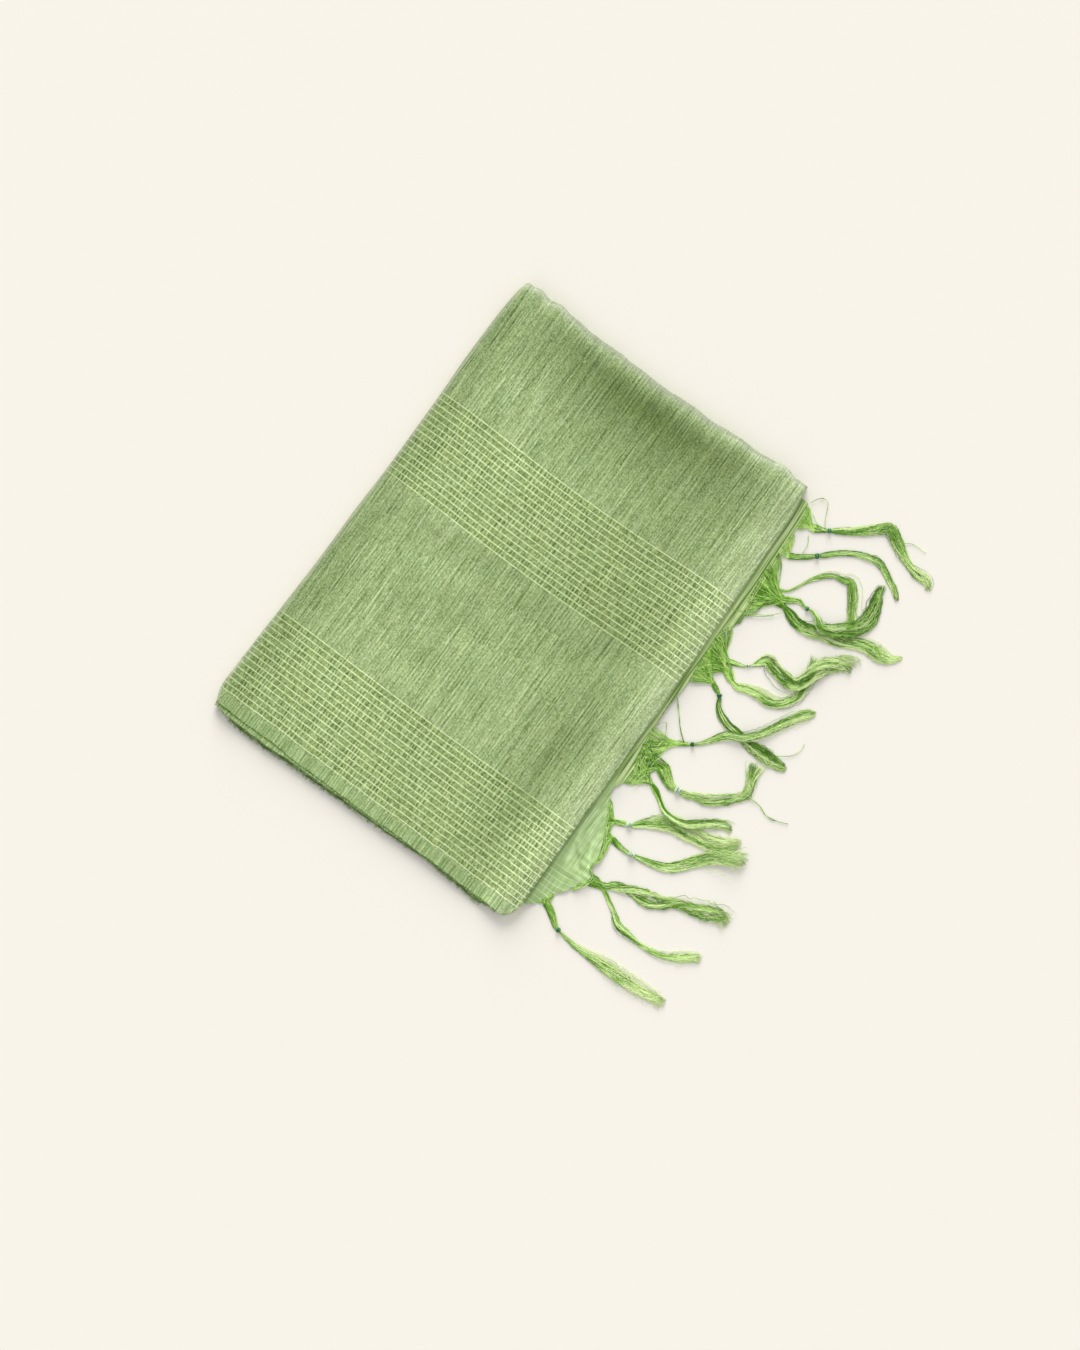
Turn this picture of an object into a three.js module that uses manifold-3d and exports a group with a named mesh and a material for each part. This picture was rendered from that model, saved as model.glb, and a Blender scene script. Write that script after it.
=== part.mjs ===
// A silk sari folded flat for the shelf, in millimetres, +Z up.
//
// The cloth is 1150 mm wide and 6300 mm long. It is folded once along its length, so that both
// selvedges lie at -Y and the fold at +Y, and then halved four times across its length, so that the
// panels turn at -X and +X. The last stretch wraps the whole bundle. The end piece comes out
// between the turns at +X, and its warp is knotted there into tassels that lie on the ground.
// The origin is the middle of the bundle's flat underside.

import * as THREE from "three";
import { mergeVertices } from "three/addons/utils/BufferGeometryUtils.js";
import Module from "manifold-3d";

const wasm = await Module();
wasm.setup();

// ---- The cut and the folds --------------------------------------------------------------------

const SARI_WIDTH = 1150;
const SARI_LENGTH = 6300;
const PANEL_WIDTH = SARI_WIDTH / 2; // along Y, once folded along its length
const PANEL_LENGTH = SARI_LENGTH / 16; // along X, once halved four times
const DOUBLED = 2.0; // the two plies of a panel, with the air between them
const PLY = 1.0; // one ply, at the end piece
const GAP = 0.35; // between bodies that lie on each other
const HALF_X = PANEL_LENGTH / 2;
const HALF_Y = PANEL_WIDTH / 2;

const MIDDLE_THICK = 9.0; // the bundle, away from its folds
const RISE_RIGHT = 2.2; // how much thicker it is at the turns at +X,
const RISE_LEFT = 1.8; // at the turns at -X
const RISE_FOLD = 3.2; // and at the fold along its length, at +Y
const ROUND_OFF = { within: 13, drop: 3.2 }; // how the top rolls down to that fold
const THIN_SELVEDGE = 0.9; // how much thinner it is at the selvedges, where nothing turns
const TURN_RADIUS = DOUBLED + 0.15; // the outer radius of a single turn at +X
const TUCK = 14; // how far a turn at +X runs back inside
const NOTCH = 12; // how deep the two plies of the last stretch part at the selvedges
const TURN_CORE = 2.6; // how far the hidden layers round out into the great turn at -X

// The bundle's edges in plan, seen from above, as they lie after folding by hand.
const LEFT_EDGE = [
  { y: -277, x: -199.5 },
  { y: -250, x: -202.6 },
  { y: -164, x: -200.6 },
  { y: -55, x: -197.8 },
  { y: 44, x: -196.2 },
  { y: 218, x: -196.8 },
  { y: 262, x: -195 },
  { y: 285, x: -191.5 },
];
const RIGHT_EDGE = [
  { y: -288, x: 194 },
  { y: -267, x: 201.7 },
  { y: -218, x: 201.8 },
  { y: -153, x: 199.6 },
  { y: -55, x: 198.6 },
  { y: 22, x: 197.3 },
  { y: 109, x: 195.9 },
  { y: 164, x: 194.6 },
  { y: 218, x: 191.8 },
  { y: 284, x: 187.3 },
];
// y of the top ply's selvedge, of the ply under it, and of the hidden layers that stand out furthest.
const SELVEDGES = [
  { x: -200, top: -277, under: -284, hidden: -286 },
  { x: -185, top: -282, under: -288, hidden: -289 },
  { x: -150, top: -283, under: -290, hidden: -294 },
  { x: -109, top: -284, under: -290, hidden: -293.4 },
  { x: -50, top: -285.6, under: -289.6, hidden: -292 },
  { x: 0, top: -286.2, under: -289, hidden: -292 },
  { x: 60, top: -286.6, under: -288.4, hidden: -291 },
  { x: 109, top: -287.5, under: -289, hidden: -290 },
  { x: 160, top: -289.6, under: -290.5, hidden: -293 },
  { x: 180, top: -288.6, under: -289.6, hidden: -290 },
  { x: 200, top: -283, under: -284, hidden: -286 },
];
const FOLD_EDGE = [
  { x: -197, y: 285 },
  { x: -176, y: 287.6 },
  { x: -109, y: 282.4 },
  { x: -44, y: 280.3 },
  { x: 0, y: 279.4 },
  { x: 54, y: 282 },
  { x: 104, y: 284.6 },
  { x: 150, y: 287.4 },
  { x: 190, y: 283.4 },
];
// Soft creases across the top, each from one point to another; a negative rise is a trough.
const CREASES = [
  { fromX: -185, fromY: -34, toX: -45, toY: 6, rise: -0.9, wide: 17 },
  { fromX: -120, fromY: -92, toX: 86, toY: -18, rise: -0.8, wide: 18 },
  { fromX: -95, fromY: -112, toX: 60, toY: -52, rise: 0.5, wide: 16 },
  { fromX: 150, fromY: 70, toX: 148, toY: -262, rise: -1.3, wide: 20 },
  { fromX: -160, fromY: 262, toX: -112, toY: 165, rise: 0.7, wide: 17 },
];

// ---- The end piece and its fringe ----------------------------------------------------------------

// x of the end piece's last pick, where the warp is let go, for each y.
const WOVEN_EDGE = [
  { y: -264, x: 206 },
  { y: -253, x: 217 },
  { y: -240, x: 223 },
  { y: -229, x: 233 },
  { y: -213, x: 241 },
  { y: -200, x: 238 },
  { y: -193, x: 232 },
  { y: -184, x: 240 },
  { y: -172, x: 240 },
  { y: -158, x: 234 },
  { y: -142, x: 226 },
  { y: -125, x: 217 },
  { y: -106, x: 209 },
  { y: -92, x: 216 },
  { y: -80, x: 217 },
  { y: -60, x: 210 },
  { y: -38, x: 207 },
  { y: 0, x: 206 },
  { y: 38, x: 207.5 },
  { y: 60, x: 206 },
  { y: 98, x: 205 },
  { y: 110, x: 210 },
  { y: 122, x: 217 },
  { y: 132, x: 215 },
  { y: 148, x: 208.5 },
  { y: 185, x: 205 },
  { y: 245, x: 204.5 },
  { y: 262, x: 202 },
  { y: 270, x: 198 },
];

// Each tassel: the stretch of the last pick that its warp comes from, where that warp gathers, the
// radius of its knot, and the way its tail lies, from the knot to the loose ends. A tail's row is x,
// y and width, and, where the tail lies over another one, how far that lifts it.
const TASSELS = [
  {
    name: "tassel_01",
    roots: [243, 266],
    gather: [222, 255],
    knot: 2.2,
    tail: [
      [231.5, 257.5, 4],
      [258, 277, 11],
      [272, 289.5, 12],
      [286, 299.5, 12],
      [299, 295.4, 12],
      [326.5, 280.5, 7],
      [353, 277, 6],
      [361.6, 268.6, 3],
    ],
  },
  {
    name: "tassel_02",
    roots: [212, 236],
    gather: [222, 216],
    knot: 2.2,
    tail: [
      [240, 229.5, 4],
      [270.6, 256, 7],
      [298.7, 264, 7],
      [331, 249, 5.5],
      [340, 240, 3],
    ],
  },
  {
    name: "tassel_03",
    roots: [170, 203],
    gather: [228.5, 177],
    knot: 1.6,
    tail: [
      [236, 180.5, 3],
      [255.3, 212.7, 7],
      [266.5, 222.5, 8],
      [287.4, 227, 9],
      [296, 219.6, 10, 0.4],
      [317, 189.5, 6, 4.8],
    ],
  },
  {
    name: "tassel_04",
    roots: [131, 146],
    gather: [231, 156],
    knot: 2.4,
    tail: [
      [241, 161, 8],
      [252.6, 160, 10],
      [277.6, 158.2, 11],
      [305.6, 166, 11],
      [319.6, 170.4, 10],
      [333.5, 177.4, 10],
      [361.6, 181.3, 10],
      [372.7, 186.2, 6],
      [380.4, 195.9, 2.4],
    ],
  },
  {
    name: "tassel_05",
    roots: [149, 163],
    gather: [246, 173.5],
    knot: 2.3,
    tail: [
      [263, 177, 4],
      [272, 178.6, 5, 1],
      [289.5, 173.2, 7, 4.2],
      [300, 176, 9, 4.2],
      [327.5, 196, 13],
      [329.6, 208, 14],
      [325.5, 223.5, 12],
      [317.5, 246, 3],
    ],
  },
  {
    name: "tassel_06",
    roots: [87, 107],
    gather: [228, 81],
    knot: 2,
    tail: [
      [247, 86.2, 3],
      [259, 100.5, 8],
      [267, 103.8, 11],
      [291, 102.6, 12],
      [300.5, 107.5, 10],
      [304.2, 119, 9],
      [305, 144, 8],
    ],
  },
  {
    name: "tassel_07",
    roots: [63, 83],
    gather: [231, 70.5],
    knot: 2.2,
    tail: [
      [239.5, 68, 7],
      [252.6, 63.4, 7],
      [277.6, 69.8, 9],
      [288, 70.2, 9],
      [299, 74, 9],
      [308, 82, 9],
      [314, 94, 10],
      [319.5, 122, 13],
      [326, 135.5, 14],
      [336.5, 146.5, 15],
      [348, 154, 14],
    ],
  },
  {
    name: "tassel_08",
    roots: [37, 57],
    gather: [231, 50.5],
    knot: 2.4,
    tail: [
      [243.4, 43.6, 5],
      [249.7, 34.4, 7],
      [270.6, 24.1, 8],
      [326.6, 19, 14],
      [350.3, 21.3, 11],
    ],
  },
  {
    name: "tassel_09",
    roots: [-38, -26],
    gather: [236, -24.5],
    knot: 2.5,
    tail: [
      [249.7, -17.2, 3],
      [258.1, -9.5, 3.5],
      [274.5, 10.5, 6.5, 1.8],
      [291.5, 23.6, 7, 4.4],
      [308.4, 45, 7, 0.4],
      [316.8, 60, 8],
      [333.5, 84.1, 6],
      [341.9, 91.1, 2.4],
    ],
  },
  {
    name: "tassel_10",
    roots: [-66, -42],
    gather: [255, -66.4],
    knot: 3,
    tail: [
      [276.3, -64.5, 6],
      [299, -55.6, 11],
      [323, -36.6, 8],
      [329.4, -27.6, 8],
      [328, -15.6, 8.5],
      [317.6, 7, 8],
    ],
  },
  {
    name: "tassel_11",
    roots: [-90, -71],
    gather: [233, -78],
    knot: 2.2,
    tail: [
      [242, -80, 4],
      [250, -82, 5],
      [269.3, -92.4, 4.6, 2.8],
      [291, -91.6, 5, 4.4],
      [330, -68.2, 7],
      [341.9, -64.5, 5],
    ],
  },
  {
    name: "tassel_12",
    roots: [-150, -127],
    gather: [236, -133],
    knot: 2.6,
    tail: [
      [248.3, -126.8, 4],
      [270, -108.4, 11],
      [296, -97.8, 14],
      [326, -94.6, 11],
      [361.6, -75, 5],
    ],
  },
  {
    name: "tassel_13",
    roots: [-178, -157],
    gather: [246.5, -152.5],
    knot: 2.7,
    tail: [
      [256.7, -154, 5],
      [284, -149.8, 6],
      [312, -138.4, 8],
      [332, -114.6, 10],
      [355, -97, 11],
      [376, -91, 7],
      [385.3, -95, 2.4],
    ],
  },
  {
    name: "tassel_14",
    roots: [-211, -196],
    gather: [250, -197.5],
    knot: 2.4,
    tail: [
      [261, -196.6, 5],
      [273.7, -191.1, 8],
      [308.6, -183.6, 13],
      [323.6, -175.4, 12],
      [338.8, -165.4, 12],
      [387.3, -151, 13],
      [401, -150.4, 8],
    ],
  },
  {
    name: "tassel_15",
    roots: [-236, -219],
    gather: [257.5, -208.5],
    knot: 2,
    tail: [
      [266.6, -206.4, 3.4],
      [288.9, -215.8, 5],
      [300, -223.6, 6],
      [314, -226.4, 5],
      [358.5, -222.2, 5],
      [397.9, -200.1, 6],
    ],
  },
  {
    name: "tassel_16",
    roots: [-260, -243],
    gather: [239, -259.5],
    knot: 1.9,
    tail: [
      [255.5, -266.5, 3],
      [271, -268.8, 4],
      [308.6, -268.4, 10],
      [346.4, -269.6, 12],
      [384.2, -265.4, 9],
      [396.3, -266, 5],
    ],
  },
];
const TAIL_LOCKS = 4; // each tail lies in this many locks of yarn
const TAIL_STEP = 14; // from one section of a lock to the next
const FAN_THREADS = 5; // and this many groups of warp run from the cloth to its knot
const THREAD = 1.0; // how thick one such group is
const FLOOR_CLEAR = 0.45; // strands end just above the ground
const TAIL_HEIGHT = 1.8; // the middle of a tail that lies on the ground
const KNOT_HEIGHT = 0.5; // how far a knot's lowest point is off the ground
const NECK = 1.2; // the half thickness of the gathered warp at its knot

// ---- Small tools --------------------------------------------------------------------------------

const { lerp, clamp, smoothstep } = THREE.MathUtils;

/** A table read as one smooth curve: the column `value` against the column `key`. */
function curveOf(table, key, value) {
  const last = table.length - 1;
  const slope = (i) => {
    const before = table[Math.max(i - 1, 0)];
    const after = table[Math.min(i + 1, last)];
    return (after[value] - before[value]) / (after[key] - before[key]);
  };
  return (at) => {
    const held = clamp(at, table[0][key], table[last][key]);
    const i = clamp(table.findLastIndex((row) => row[key] <= held), 0, last - 1);
    const gap = table[i + 1][key] - table[i][key];
    const t = (held - table[i][key]) / gap;
    const [p, q] = [table[i][value], table[i + 1][value]];
    const pull = (slope(i) * (1 - t) - slope(i + 1) * t) * gap * t * (1 - t);
    return p + (q - p) * t * t * (3 - 2 * t) + pull;
  };
}

const leftEdge = curveOf(LEFT_EDGE, "y", "x");
const rightEdge = curveOf(RIGHT_EDGE, "y", "x");
const topSelvedge = curveOf(SELVEDGES, "x", "top");
const underSelvedge = curveOf(SELVEDGES, "x", "under");
const hiddenSelvedge = curveOf(SELVEDGES, "x", "hidden");
const foldEdge = curveOf(FOLD_EDGE, "x", "y");
const wovenEdge = curveOf(WOVEN_EDGE, "y", "x");

/** n + 1 shares from 0 to 1, closer together at both ends. */
function shares(n) {
  const even = 0.45; // 0 crowds the ends fully, 1 spaces them evenly
  return Array.from({ length: n + 1 }, (_, k) => {
    const t = k / n;
    return lerp((1 - Math.cos(Math.PI * t)) / 2, t, even);
  });
}

/** One closed geometry from points and triangles. */
function geometryOf(points, triangles) {
  const geometry = new THREE.BufferGeometry().setFromPoints(points);
  geometry.setIndex(triangles);
  return geometry;
}

/**
 * A closed body of cloth between an outer and an inner skin, both grids of points on the same rows
 * and columns. `rim(row, column)` gives the points between the two skins at the edge, as rows of
 * how far the point is from outer to inner and how far it stands out from the edge.
 */
function clothBody(outer, inner, rim) {
  const rows = outer.length - 1;
  const columns = outer[0].length - 1;
  const points = [...outer.flat(), ...inner.flat()];
  const at = (skin, i, j) => skin * (rows + 1) * (columns + 1) + i * (columns + 1) + j;
  const triangles = [];
  const quad = (a, b, c, d) => triangles.push(a, b, c, a, c, d);
  for (let i = 0; i < rows; i++) {
    for (let j = 0; j < columns; j++) {
      quad(at(0, i, j), at(0, i + 1, j), at(0, i + 1, j + 1), at(0, i, j + 1));
      quad(at(1, i, j), at(1, i, j + 1), at(1, i + 1, j + 1), at(1, i + 1, j));
    }
  }
  const loop = [];
  for (let j = 0; j < columns; j++) loop.push([0, j]);
  for (let i = 0; i < rows; i++) loop.push([i, columns]);
  for (let j = columns; j > 0; j--) loop.push([rows, j]);
  for (let i = rows; i > 0; i--) loop.push([i, 0]);
  const away = ([i, j]) => {
    const out = new THREE.Vector3();
    for (const skin of [outer, inner]) {
      const here = skin[i][j];
      if (i === 0) out.add(here.clone().sub(skin[1][j]).normalize());
      if (i === rows) out.add(here.clone().sub(skin[rows - 1][j]).normalize());
      if (j === 0) out.add(here.clone().sub(skin[i][1]).normalize());
      if (j === columns) out.add(here.clone().sub(skin[i][columns - 1]).normalize());
    }
    return out.normalize();
  };
  const rings = [loop.map(([i, j]) => at(0, i, j))];
  const steps = rim(0, 0).length;
  for (let k = 0; k < steps; k++) {
    rings.push(
      loop.map(([i, j]) => {
        const [share, out] = rim(i / rows, j / columns)[k];
        const point = outer[i][j].clone().lerp(inner[i][j], share);
        points.push(point.addScaledVector(away([i, j]), out));
        return points.length - 1;
      }),
    );
  }
  rings.push(loop.map(([i, j]) => at(1, i, j)));
  for (let k = 0; k + 1 < rings.length; k++) {
    for (let m = 0; m < loop.length; m++) {
      const next = (m + 1) % loop.length;
      quad(rings[k][m], rings[k][next], rings[k + 1][next], rings[k + 1][m]);
    }
  }
  return geometryOf(points, triangles);
}

/** A closed tube of yarn through stations of centre, half width and half height. */
function lock(stations, sides) {
  const points = [];
  const triangles = [];
  const up = new THREE.Vector3(0, 0, 1);
  stations.forEach(({ centre, across, high }, k) => {
    const before = stations[Math.max(k - 1, 0)].centre;
    const after = stations[Math.min(k + 1, stations.length - 1)].centre;
    const along = after.clone().sub(before).normalize();
    const side = up.clone().cross(along).normalize();
    const top = along.clone().cross(side);
    for (let n = 0; n < sides; n++) {
      const angle = (Math.PI * 2 * (n + 0.25 * sides)) / sides;
      const point = centre.clone().addScaledVector(side, Math.cos(angle) * across);
      points.push(point.addScaledVector(top, Math.sin(angle) * high));
    }
  });
  const last = (stations.length - 1) * sides;
  for (let k = 0; k < last; k += sides) {
    for (let n = 0; n < sides; n++) {
      const m = (n + 1) % sides;
      triangles.push(k + n, k + m, k + sides + m, k + n, k + sides + m, k + sides + n);
    }
  }
  for (let n = 1; n + 1 < sides; n++) {
    triangles.push(0, n + 1, n, last, last + n, last + n + 1);
  }
  return geometryOf(points, triangles);
}

/** A closed three.js geometry as a manifold-3d solid. */
function solidOf(geometry) {
  const bare = geometry.clone();
  bare.deleteAttribute("normal");
  bare.deleteAttribute("uv");
  const merged = mergeVertices(bare, 1e-4);
  const solid = new wasm.Manifold(
    new wasm.Mesh({
      numProp: 3,
      vertProperties: merged.attributes.position.array,
      triVerts: new Uint32Array(merged.index.array),
    }),
  );
  if (solid.volume() <= 0) throw new Error("a solid is inside out");
  return solid;
}

/** The solids joined into one closed geometry. */
function joined(geometries) {
  const mesh = geometries.map(solidOf).reduce((all, one) => all.add(one)).getMesh();
  const points = [];
  for (let i = 0; i < mesh.vertProperties.length; i += mesh.numProp) {
    points.push(new THREE.Vector3().fromArray(mesh.vertProperties, i));
  }
  return geometryOf(points, [...mesh.triVerts]);
}

// ---- The bundle's top -----------------------------------------------------------------------------

/** How much a soft crease lifts or lowers the cloth at a point. */
function creaseRise(x, y, { fromX, fromY, toX, toY, rise, wide }) {
  const run = new THREE.Vector2(toX - fromX, toY - fromY);
  const here = new THREE.Vector2(x - fromX, y - fromY);
  const along = here.dot(run) / run.lengthSq();
  const off = here.cross(run) / run.length();
  const fade = smoothstep(along, -0.1, 0.25) * (1 - smoothstep(along, 0.75, 1.1));
  return rise * fade * Math.exp(-((off / wide) ** 2));
}

/** The height of the bundle's top: thick at its folds, hollow between them. */
function topHeight(x, y) {
  const fromRight = rightEdge(y) - x;
  const fromLeft = x - leftEdge(y);
  const fromFold = foldEdge(x) - y;
  const right = RISE_RIGHT * (1 - smoothstep(fromRight, TUCK - 3, TUCK + 24));
  const left = RISE_LEFT * (1 - smoothstep(fromLeft, 10, 40));
  const fold = RISE_FOLD * (1 - smoothstep(fromFold, 14, 68));
  const thinner = THIN_SELVEDGE * (1 - smoothstep(y, -HALF_Y, -HALF_Y + 40));
  const nearFold = clamp(1 - fromFold / ROUND_OFF.within, 0, 1);
  const roundedOff = ROUND_OFF.drop * (1 - Math.sqrt(1 - 0.98 * nearFold ** 2));
  const flatEnough = smoothstep(Math.min(fromRight, fromLeft), 12, 40); // no crease at the turns
  const creased = CREASES.reduce((sum, crease) => sum + creaseRise(x, y, crease), 0);
  const thick = MIDDLE_THICK + Math.hypot(right + left, fold) - thinner;
  return thick - roundedOff + creased * flatEnough;
}

// ---- The last stretch, which wraps the bundle -------------------------------------------------

const TOP_STEPS = 14; // over the hidden layers, and a few more over the turn at +X
const EDGE_STEPS = 3;
const FLOOR_STEPS = 5;
const TURN_STEPS = 5;
// Shares of the way from the selvedges to the fold at +Y, close together where the cloth rounds off.
const ACROSS = [
  0, 0.02, 0.06, 0.12, 0.2, 0.28, 0.36, 0.44, 0.52, 0.6, 0.68, 0.76, 0.84, 0.9, 0.95, 0.98, 0.993, 1,
];

/** The radius and centre of the great turn at -X, and where the hidden layers stop at +X. */
function bundleSpan(y) {
  const bigR = topHeight(leftEdge(y) + MIDDLE_THICK / 2, y) / 2;
  return { bigR, bigX: leftEdge(y) + bigR, lastX: rightEdge(y) - TUCK - 2.5 };
}

/** One row of the wrap across Y: for each station, the outer and inner skin in the XZ plane. */
function wrapStations(y) {
  const right = rightEdge(y);
  const r = TURN_RADIUS;
  const turnX = right - r;
  const { bigR, bigX, lastX } = bundleSpan(y);
  const stations = [];
  const flat = (x, z, inward) => stations.push([x, z, x, z + inward * DOUBLED]);
  const turn = (cx, cz, radius, from, to, steps) => {
    for (let k = 1; k < steps; k++) {
      const a = lerp(from, to, k / steps) * Math.PI;
      const [c, s] = [Math.cos(a), Math.sin(a)];
      const bore = radius - DOUBLED;
      stations.push([cx + radius * c, cz + radius * s, cx + bore * c, cz + bore * s]);
    }
  };
  for (const x of [right - TUCK, turnX]) flat(x, topHeight(x, y) - 2 * r, 1);
  turn(turnX, topHeight(turnX, y) - r, r, -0.5, 0.5, TURN_STEPS);
  for (let k = 0; k < EDGE_STEPS; k++) {
    const x = lerp(turnX, lastX, k / EDGE_STEPS);
    flat(x, topHeight(x, y), -1);
  }
  for (const share of shares(TOP_STEPS)) {
    const x = lerp(lastX, bigX, share);
    flat(x, topHeight(x, y), -1);
  }
  turn(bigX, bigR, bigR, 0.5, 1.5, TURN_STEPS + 2);
  for (const share of shares(FLOOR_STEPS)) flat(lerp(bigX, turnX, share), 0, 1);
  turn(turnX, r, r, -0.5, 0.5, TURN_STEPS);
  for (const x of [turnX, right - TUCK]) flat(x, 2 * r, -1);
  return stations.reverse();
}

/** The doubled cloth of the last stretch: selvedges parted at -Y, folded along its length at +Y. */
function outerStretch() {
  const columns = ACROSS.map((t) => wrapStations(lerp(-HALF_Y, HALF_Y, t)));
  const skin = (x, z, selvedge) =>
    columns[0].map((_, i) =>
      columns.map((stations, j) => {
        const place = stations[i][x];
        const y = lerp(selvedge(place), foldEdge(place), ACROSS[j]);
        return new THREE.Vector3(place, y, stations[i][z]);
      }),
    );
  const outer = skin(0, 1, topSelvedge);
  const inner = skin(2, 3, underSelvedge);
  const rim = (row, column) => {
    if (column === 0) return [[0.4, 0.4], [0.5, -NOTCH], [0.6, 0.4]];
    if (column === 1) return [[0.2, 0.7], [0.5, 1.1], [0.8, 0.7]];
    return [[0.25, 0.3], [0.5, 0.4], [0.75, 0.3]];
  };
  return clothBody(outer, inner, rim);
}

// ---- The layers inside, which show only at their edges -------------------------------------------

const HIDDEN_LAYERS = [
  { fold: 1.0, selvedge: 1.6 },
  { fold: 0.4, selvedge: 0.2 },
  { fold: 1.2, selvedge: 1.1 },
];
const GROOVE = -1.8; // how far the cloth draws in between two layers

function hiddenLayers() {
  const under = DOUBLED + GAP;
  const skin = (height) =>
    shares(TOP_STEPS).map((s) =>
      ACROSS.map((t) => {
        const level = lerp(-HALF_Y, HALF_Y, t);
        const { bigX, lastX } = bundleSpan(level);
        const x = lerp(bigX, lastX, s);
        const edges = { 0: hiddenSelvedge(x) + 1.2, 1: foldEdge(x) - 1.6 }; // the layers' mean
        const y = edges[t] ?? lerp(underSelvedge(x), foldEdge(x), t);
        return new THREE.Vector3(x, y, height(x, level));
      }),
    );
  const top = skin((x, level) => topHeight(x, level) - under);
  const floor = skin(() => under);
  const rim = (s, t) => {
    const steps = 2 * HIDDEN_LAYERS.length - 1; // each layer's edge, and the groove under it
    return Array.from({ length: steps }, (_, k) => {
      const share = (k + 1) / (steps + 1);
      const layer = HIDDEN_LAYERS[Math.floor(k / 2)];
      const isGroove = k % 2 === 1;
      if (t === 0) return [share, isGroove ? GROOVE : layer.selvedge];
      if (t === 1) return [share, isGroove ? GROOVE : layer.fold];
      return [share, s === 0 ? TURN_CORE * Math.sqrt(1 - (2 * share - 1) ** 2) : 0];
    });
  };
  return clothBody(top, floor, rim);
}

// ---- The end piece ------------------------------------------------------------------------------

const END_ROWS = 84;
const END_COLUMNS = 5;
const END_LOW = WOVEN_EDGE[0].y;
const END_HIGH = WOVEN_EDGE.at(-1).y;
const RIPPLE = { pitch: 21, height: 0.9 }; // of the last picks, where the fringe gathers them
const INSIDE_HEIGHT = 2 * TURN_RADIUS + GAP + PLY + 0.15; // of its upper skin between the turns
const FALL = { from: 0.5, to: 11.5 }; // where it comes down, past the turns

/** The height of the end piece's upper skin: between the turns, and then down to the ground. */
function endHeight(x, y) {
  const past = x - rightEdge(y);
  const fallen = smoothstep(past, FALL.from, FALL.to);
  const ripple = 0.5 + 0.5 * Math.sin((2 * Math.PI * y) / RIPPLE.pitch + x * 0.06);
  const lifted = RIPPLE.height * ripple * smoothstep(past, 3, 16);
  return lerp(INSIDE_HEIGHT, FLOOR_CLEAR + PLY, fallen) + lifted;
}

function endPiece() {
  const grid = (height) =>
    Array.from({ length: END_COLUMNS + 1 }, (_, i) =>
      Array.from({ length: END_ROWS + 1 }, (_, j) => {
        const y = lerp(END_LOW, END_HIGH, j / END_ROWS);
        const start = rightEdge(y) - TUCK + 2;
        const x = lerp(start, wovenEdge(y), (i / END_COLUMNS) ** 0.8);
        return new THREE.Vector3(x, y, height(x, y));
      }),
    );
  const top = grid(endHeight);
  const lean = 1.2; // the wall stays a ply thick where it falls steeply
  const below = grid((x, y) => {
    const steep = Math.abs(endHeight(x + 0.5, y) - endHeight(x - 0.5, y));
    return endHeight(x, y) - PLY * Math.min(Math.hypot(1, steep), lean);
  });
  return clothBody(top, below, () => [[0.5, 0.2]]);
}

// ---- The tassels --------------------------------------------------------------------------------

/** The threads from the last pick to the point `end` where they gather. */
function fan(roots, end) {
  return Array.from({ length: FAN_THREADS }, (_, n) => {
    const y = lerp(roots[0], roots[1], (n + 0.5) / FAN_THREADS);
    const x = wovenEdge(y) + GAP + THREAD * 0.75;
    const z = Math.max(endHeight(wovenEdge(y), y) - PLY / 2, FLOOR_CLEAR + THREAD / 2);
    const ends = [new THREE.Vector3(x, y, z), end];
    const half = THREAD / 2;
    return lock(ends.map((centre) => ({ centre, across: half, high: half })), 3);
  });
}

/** The locks of a tail side by side, from the knot to their loose ends. */
function tailLocks(tail, knotZ) {
  const heightOf = (lift, k) => (k === 0 ? knotZ : TAIL_HEIGHT + lift);
  const points = tail.map(([x, y, , lift = 0], k) => new THREE.Vector3(x, y, heightOf(lift, k)));
  const line = new THREE.CatmullRomCurve3(points);
  const up = new THREE.Vector3(0, 0, 1);
  const steps = Math.round(line.getLength() / TAIL_STEP);
  return Array.from({ length: TAIL_LOCKS }, (_, n) => {
    const place = (n + 0.5) / TAIL_LOCKS - 0.5; // across the tail, -0.5 to 0.5
    const reach = 1 - 0.06 * ((n * 2) % 3); // the loose ends don't lie level
    const stations = Array.from({ length: steps + 1 }, (_, k) => {
      const t = (k / steps) * reach;
      const centre = line.getPoint(t);
      const side = line.getTangent(t).cross(up).normalize();
      const row = t * (tail.length - 1);
      const i = Math.min(Math.floor(row), tail.length - 2);
      const wide = lerp(tail[i][2], tail[i + 1][2], row - i);
      centre.addScaledVector(side, place * wide);
      centre.z = Math.max(centre.z, FLOOR_CLEAR + 0.8);
      const across = Math.max(wide / TAIL_LOCKS / 2 - 0.15, 0.3);
      return { centre, across, high: clamp(wide * 0.16, 0.7, 1.2) };
    });
    return lock(stations, 3);
  });
}

/** A tassel: warp gathered into a neck, tied in a knot, and loose beyond it. */
function tassel({ roots, gather, knot, tail }) {
  const [x, y, wide] = tail[0];
  const knotAt = new THREE.Vector3(x, y, knot + KNOT_HEIGHT);
  const neckFrom = new THREE.Vector3(gather[0], gather[1], knotAt.z - NECK / 2);
  const neck = [
    { centre: neckFrom, across: NECK, high: NECK },
    { centre: knotAt, across: Math.max(wide * 0.4, NECK), high: NECK },
  ];
  const head = new THREE.IcosahedronGeometry(knot, 1);
  const spread = Math.max(1, (wide * 0.55) / knot);
  head.scale(spread, spread, 1);
  head.translate(...knotAt);
  return joined([head, lock(neck, 4), ...fan(roots, neckFrom), ...tailLocks(tail, knotAt.z)]);
}

// ---- The whole sari -------------------------------------------------------------------------------

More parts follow.
